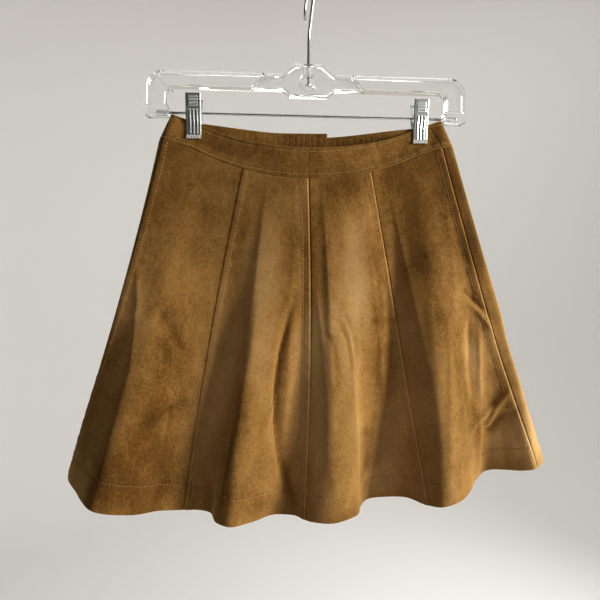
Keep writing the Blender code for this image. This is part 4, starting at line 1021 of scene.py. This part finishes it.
def clear_look():
    """Clear polished styrene, with the faint waves of a moulded face."""
    look, nodes, links, shader = new_look("clear_styrene", (0.97, 0.98, 0.98), 0.02)
    shader.inputs["Transmission Weight"].default_value = 1.0
    shader.inputs["IOR"].default_value = 1.52
    waves = add_noise(nodes, links, nodes.new("ShaderNodeTexCoord").outputs["Object"], 55.0, 1.0)
    add_bump(nodes, links, waves, 0.33, 0.0006, shader)
    return look


body = eased_copy("hanger_body", "clear_hanger", 0.0004, clear_look())
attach(body, "skirt")
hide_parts("hanger_body")

# The hook and the rod
# Bright drawn steel wire: a hook with an upset head that turns in the hanger's window, and a straight rod.

WIRE_RADIUS, HOOK_RADIUS, HOOK_TURN = 0.00165, 0.0190, math.radians(9.0)  # the hook's is to its inside
SHANK_TOP_Z, SHANK_END_Z = -0.0660, -0.1105
SHANK_POINTS, BEND_POINTS, BOW_POINTS = 8, 24, 60
HEAD_RADIUS, HEAD_HEIGHT = 0.0034, 0.0018
SPINE_ANGLE, TIP_ANGLE = math.radians(-35.0), math.radians(205.0)
ROD_Z, ROD_RADIUS, ROD_HALF = -0.1443, 0.0016, 0.1680


def tube_shape(path, radius, aside, sides=20):
    """A round tube along a path: at each point a circle square to it, of that point's radius.

    The ends are closed by a last circle of no size. aside is any direction square to the path.
    """
    path = np.concatenate([path[:1], path, path[-1:]])
    radius = np.concatenate([[0.0], np.broadcast_to(radius, len(path) - 2), [0.0]])
    tangent = np.gradient(path[1:-1], axis=0)
    tangent = unit(np.concatenate([tangent[:1], tangent, tangent[-1:]]))
    aside = np.broadcast_to(aside, (len(path) - 2, 3))
    aside = np.concatenate([aside[:1], aside, aside[-1:]])
    aside = unit(aside - tangent * (aside * tangent).sum(axis=1, keepdims=True))
    turn = np.linspace(0.0, 2 * math.pi, sides + 1)[None, :, None]
    circle = aside[:, None] * np.cos(turn) + np.cross(tangent, aside)[:, None] * np.sin(turn)
    points = path[:, None] + circle * radius[:, None, None]
    return points.reshape(-1, 3), grid_quads(len(path), sides + 1), 0


def hook_line():
    """The wire's centre line in the hook's plane: up the shank, a bend to the spine, and a round hook."""
    radius = HOOK_RADIUS + WIRE_RADIUS
    start = np.array([radius * math.cos(SPINE_ANGLE), -HOOK_RADIUS + radius * math.sin(SPINE_ANGLE)])
    leave = np.array([math.sin(SPINE_ANGLE), -math.cos(SPINE_ANGLE)])
    shank_top = np.array([0.0, SHANK_TOP_Z])
    pull = 0.42 * np.linalg.norm(start - shank_top)
    t = np.linspace(0.0, 1.0, BEND_POINTS, endpoint=False)[:, None]
    bend = (
        shank_top * (1 - t) ** 3
        + (shank_top + [0.0, pull]) * 3 * t * (1 - t) ** 2
        + (start + leave * pull) * 3 * t**2 * (1 - t)
        + start * t**3
    )
    angle = np.linspace(SPINE_ANGLE, TIP_ANGLE, BOW_POINTS)[:, None]
    bow = np.concatenate([radius * np.cos(angle), radius * np.sin(angle) - HOOK_RADIUS], axis=1)
    shank_z = np.linspace(SHANK_END_Z + HEAD_HEIGHT, SHANK_TOP_Z, SHANK_POINTS, endpoint=False)
    shank = np.stack([np.zeros(SHANK_POINTS), shank_z], axis=1)
    return np.concatenate([shank, bend, bow])


def worn_look(name, colour, metallic, roughness, rough_from, rough_to, scale, detail):
    """A finish whose roughness drifts with a noise between two values."""
    look, nodes, links, shader = new_look(name, colour, roughness, metallic)
    marks = add_noise(nodes, links, nodes.new("ShaderNodeTexCoord").outputs["Object"], scale, detail)
    spread = nodes.new("ShaderNodeMapRange")
    spread.inputs["To Min"].default_value = rough_from
    spread.inputs["To Max"].default_value = rough_to
    links.new(marks, spread.inputs["Value"])
    links.new(spread.outputs["Result"], shader.inputs["Roughness"])
    return look


def steel_look(name, tone, polished, worn):
    """Bright steel, between two roughnesses, with faint marks of the die."""
    return worn_look(name, (tone, tone + 0.01, tone + 0.02), 1.0, polished, polished, worn, 300.0, 3.0)


steel = steel_look("bright_steel", 0.70, 0.14, 0.30)
plate = steel_look("plated_sheet", 0.78, 0.30, 0.42)
aside = np.array([math.cos(HOOK_TURN), math.sin(HOOK_TURN), 0.0])
forward = np.array([math.sin(HOOK_TURN), -math.cos(HOOK_TURN), 0.0])
upward = np.array([0.0, 0.0, 1.0])
line = hook_line()
wire = tube_shape(line[:, :1] * forward + line[:, 1:] * upward, WIRE_RADIUS, aside)
head_z = SHANK_END_Z + np.array([0.0, 0.15, 0.5, 0.8, 1.0]) * HEAD_HEIGHT
head_radius = np.array([0.8, 0.95, 1.0, 0.9, 0.55]) * HEAD_RADIUS
head = tube_shape(head_z[:, None] * upward, head_radius, aside)
hook = new_piece("wire_hook", [wire, head], [steel])
rod_x = np.linspace(-ROD_HALF, ROD_HALF, 9)
rod_line = np.stack([rod_x, 0 * rod_x, 0 * rod_x + ROD_Z], axis=1)
rod = new_piece("hanger_cross_rod", [tube_shape(rod_line, ROD_RADIUS, upward)], [steel])
for piece, node in ((hook, "hanger_hook"), (rod, "hanger_rod")):
    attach(piece, "skirt")
    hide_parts(node)

# The clips
# Two pressed sheets of plated steel, hinged on the rod by their ears and shut by a coil spring. Four grip
# bars are pressed into the handle, and flutes and a row of dimples into the jaw.

CLIP_HALF, CLIP_SHEET = 0.00825, 0.0009  # half its width, and its sheet's thickness
# The inner face of a sheet from its handle down to its lips: how far out, and how high
CLIP_PROFILE = np.array(
    [
        (0.0086, -0.1255),
        (0.0070, -0.1340),
        (0.0062, -0.1400),
        (0.0062, -0.1480),
        (0.0042, -0.1525),
        (0.0026, -0.1570),
        (0.0026, -0.1695),
        (0.0040, -0.1738),
    ]
)
CHEEK, CHEEK_FRONT_X, CHEEK_BACK_X, CHEEK_RADIUS = 0.0008, 0.00745, 0.00630, 0.0033
CLIP_ROWS, CLIP_COLUMNS = 110, 45
# The pressed relief, in metres down the sheet and out of it
BAR_FIRST, BAR_PITCH, BAR_HALF, BAR_REACH, BAR_OUT = 0.0036, 0.0030, 0.0007, 0.0050, 0.00055
FLUTE_PITCH, FLUTE_TOP, FLUTE_END, FLUTE_REACH, FLUTE_OUT = 0.0038, 0.0175, 0.0440, 0.0064, 0.00065
DIMPLE_ROW, DIMPLE_RADIUS, DIMPLE_OUT = 0.0472, 0.0008, 0.0006
DIMPLES = (-0.0051, -0.0017, 0.0017, 0.0051)
RIM_WIDTH, RIM_SINK = 0.0008, 0.0005


def window(value, low, high, soft):
    """1 between low and high, falling softly to 0 outside them."""
    return smoothstep((value - low) / soft + 0.5) * smoothstep((high - value) / soft + 0.5)


def clip_sheet(middle, face):
    """A pressed sheet: its bent profile carried across, with the pressed relief moved out of it."""
    walked = np.concatenate([[0.0], np.cumsum(np.linalg.norm(np.diff(CLIP_PROFILE, axis=0), axis=1))])
    s = np.linspace(0.0, walked[-1], CLIP_ROWS)
    depth = np.interp(s, walked, CLIP_PROFILE[:, 0])
    soften = np.ones(7) / 7
    depth[3:-3] = np.convolve(depth, soften, mode="valid")
    z = np.interp(s, walked, CLIP_PROFILE[:, 1])
    slope = unit(np.stack([np.gradient(depth), np.gradient(z)], axis=1))
    u = np.linspace(-CLIP_HALF, CLIP_HALF, CLIP_COLUMNS)[None, :]
    s = s[:, None]
    relief = np.zeros((CLIP_ROWS, CLIP_COLUMNS))
    for k in range(4):
        bar = BAR_FIRST + BAR_PITCH * k
        along_bar = window(abs(u), -1.0, BAR_REACH, 0.0010)
        relief += BAR_OUT * window(s, bar - BAR_HALF, bar + BAR_HALF, BAR_HALF) * along_bar
    flutes = 0.5 + 0.5 * np.cos(2 * math.pi * u / FLUTE_PITCH)
    fluted = window(s, FLUTE_TOP, FLUTE_END, 0.0020)
    relief += FLUTE_OUT * flutes * fluted * window(abs(u), -1.0, FLUTE_REACH, 0.0012)
    for x in DIMPLES:
        relief += DIMPLE_OUT * np.exp(-(((u - x) ** 2 + (s - DIMPLE_ROW) ** 2) / DIMPLE_RADIUS**2))
    relief -= RIM_SINK * smoothstep((abs(u) - CLIP_HALF + RIM_WIDTH) / RIM_WIDTH)
    normal = np.stack([-slope[:, 1], slope[:, 0]], axis=1)

    def at(out):
        """The sheet's points, moved out from its inner face by a grid of distances."""
        y = depth[:, None] + normal[:, :1] * out
        z_out = z[:, None] + normal[:, 1:] * out
        return np.stack([np.broadcast_to(middle + u, y.shape), face * y, z_out], axis=-1)

    return wall_shape(at(CLIP_SHEET + relief), at(np.maximum(relief, 0.0) * 0.8))


def clip_ear(middle_x, x, face):
    """An ear: a flat tongue from the sheet to the rod with a round end, its rim eased."""
    end = np.linspace(-math.pi / 2, math.pi / 2, 15)
    back = -CLIP_PROFILE[3, 0] - CLIP_SHEET / 2
    y = np.concatenate([[back], CHEEK_RADIUS * np.cos(end), [back]])
    z = np.concatenate([[-CHEEK_RADIUS], CHEEK_RADIUS * np.sin(end), [CHEEK_RADIUS]])
    outline = np.stack([-face * y, z], axis=1)
    outline = np.concatenate([outline, outline[:1]])
    centre = outline[:-1].mean(axis=0)
    rings = []
    for share, out in ((0.0, 0.0), (0.94, 0.0), (1.0, 0.12), (1.0, 0.88), (0.94, 1.0), (0.0, 1.0)):
        ring = centre + (outline - centre) * share
        across = np.full(len(ring), middle_x + x + CHEEK * (out - 0.5))
        rings.append(np.stack([across, ring[:, 0], ring[:, 1] + ROD_Z], axis=1))
    grid = np.array(rings)
    return grid.reshape(-1, 3), grid_quads(*grid.shape[:2]), 0


SPRING_TURNS, SPRING_HALF, SPRING_RADIUS, SPRING_WIRE = 9, 0.0050, 0.0033, 0.00050


def spring_shape(middle):
    """A coil spring: nine close turns of wire round the rod, a circle carried evenly along it."""
    t = np.linspace(0.0, 1.0, SPRING_TURNS * 16 + 1)  # sixteen steps to a turn
    angle = 2 * math.pi * SPRING_TURNS * t
    x = middle + mix(-SPRING_HALF, SPRING_HALF, t)
    coil = np.stack([x, SPRING_RADIUS * np.sin(angle), ROD_Z + SPRING_RADIUS * np.cos(angle)], axis=1)
    outward = np.stack([0 * t, np.sin(angle), np.cos(angle)], axis=1)
    return tube_shape(coil, SPRING_WIRE, outward, sides=8)


for side_name, side in (("left", -1), ("right", 1)):
    middle = side * CLIP_X
    for face_name, face, cheek_x in (("front", -1, CHEEK_FRONT_X), ("back", 1, CHEEK_BACK_X)):
        ears = [clip_ear(middle, end * (cheek_x + CHEEK / 2), face) for end in (-1, 1)]
        clip = new_piece(f"{side_name}_clip_{face_name}_sheet", [clip_sheet(middle, face), *ears], [plate])
        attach(clip, "skirt")
        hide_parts(f"clip_{side_name}_{face_name}")
    spring = new_piece(f"{side_name}_clip_coil", [spring_shape(middle)], [steel])
    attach(spring, "skirt")
    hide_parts(f"clip_{side_name}_spring")

# The zip
# A concealed zip at the centre back: two woven tapes and a nylon coil inside the seam, a slider at its top
# and a pull that hangs outside on the slider's lug.

TAPE_TOP, TAPE_WIDTH, TAPE_CLOTH, TAPE_DEPTH = 0.01625, 0.0110, 0.0006, 0.0017  # its depth is under the face
TAPE_ROWS, CENTRE_STEP, SIDE_STEP = 60, 0.02, 0.01  # rows of points, and the steps in place beside the seam
TAPE_STEPS = np.array([0.0003, 0.0008, 0.002, 0.004, 0.006, 0.008, 0.0098, 0.0106, TAPE_WIDTH])
COIL_TURNS, COIL_HALF, COIL_RISE, COIL_WIRE, COIL_DEPTH = 125, 0.0016, 0.0005, 0.00033, 0.0009


def tape_look():
    """Twill tape, woven close."""
    look, nodes, links, shader = new_look("zip_tape", (0.24, 0.125, 0.05), 0.8)
    place = nodes.new("ShaderNodeTexCoord").outputs["Object"]
    weave = add_weave(nodes, links, place, 420.0, "DIAGONAL")
    add_ramp(nodes, links, weave, (0.17, 0.085, 0.033), (0.27, 0.145, 0.060), shader)
    add_bump(nodes, links, weave, 0.5, 0.0002, shader)
    return look


tape_finish = tape_look()
tape_heights = np.linspace(TAPE_TOP, ZIP_DOWN, TAPE_ROWS) / GORE_LENGTH
centre_places = [CENTRE_BACK - CENTRE_STEP, CENTRE_BACK, CENTRE_BACK + CENTRE_STEP]
points, _, _, outward = cloth_frame(np.tile(centre_places, (TAPE_ROWS, 1)), tape_heights)
centre_line, centre_out = points[:, 1], outward[:, 1]
for name, side in (("right", -1), ("left", 1)):
    beside_places = np.tile([CENTRE_BACK, CENTRE_BACK + side * SIDE_STEP], (TAPE_ROWS, 1))
    beside = cloth_points(beside_places, tape_heights)
    place_width = np.linalg.norm(beside[:, 1] - beside[:, 0], axis=1)[:, None] / SIDE_STEP
    places = CENTRE_BACK + side * TAPE_STEPS[None, :] / place_width
    if side < 0:
        places = places[:, ::-1]
    points, _, _, tape_out = cloth_frame(places, tape_heights)
    tape_face = points - tape_out * TAPE_DEPTH
    tape_wall = wall_shape(tape_face, tape_face - tape_out * TAPE_CLOTH)
    tape = new_piece(f"{name}_zip_tape_weave", [tape_wall], [tape_finish])
    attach(tape, "skirt")
    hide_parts(f"zip_tape_{name}")

# The coil of the zip's teeth is a flat helix down the middle of the two tapes, on their inside.
coil_walk = np.linspace(0.0, 1.0, COIL_TURNS * 10)  # ten points to a turn
coil_turn = 2 * math.pi * COIL_TURNS * coil_walk[:, None]
tape_walk = np.linspace(0, 1, TAPE_ROWS)
spine = np.stack([np.interp(coil_walk, tape_walk, centre_line[:, k]) for k in range(3)], axis=1)
spine_out = np.stack([np.interp(coil_walk, tape_walk, centre_out[:, k]) for k in range(3)], axis=1)
sideways = np.array([1.0, 0.0, 0.0])
round_coil = sideways * np.sin(coil_turn) * COIL_HALF + spine_out * np.cos(coil_turn) * COIL_RISE
coil_line = spine - spine_out * (TAPE_DEPTH + TAPE_CLOTH + COIL_DEPTH) + round_coil
nylon = worn_look("nylon_coil", (0.26, 0.14, 0.06), 0.0, 0.45, 0.35, 0.55, 500.0, 2.0)
coil = new_piece("zip_coil", [tube_shape(coil_line, COIL_WIRE, unit(round_coil), sides=6)], [nylon])
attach(coil, "skirt")

# The slider, its pull and the stud's two halves are satin brass, rubbed brighter in places.
brass = worn_look("satin_brass", (0.58, 0.44, 0.22), 1.0, 0.3, 0.24, 0.42, 260.0, 3.0)
for node, name, body_name, edge in (
    ("zip_slider", "slider_with_lug", "skirt", 0.0003),
    ("zip_pull", "slider_pull_tab", "pull", 0.00025),
    ("stud_socket", "press_stud_socket", "skirt", 0.00015),
    ("stud_cap", "press_stud_cap", "skirt", 0.00015),
):
    metal = eased_copy(node, name, edge, brass)
    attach(metal, body_name)
    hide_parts(node)
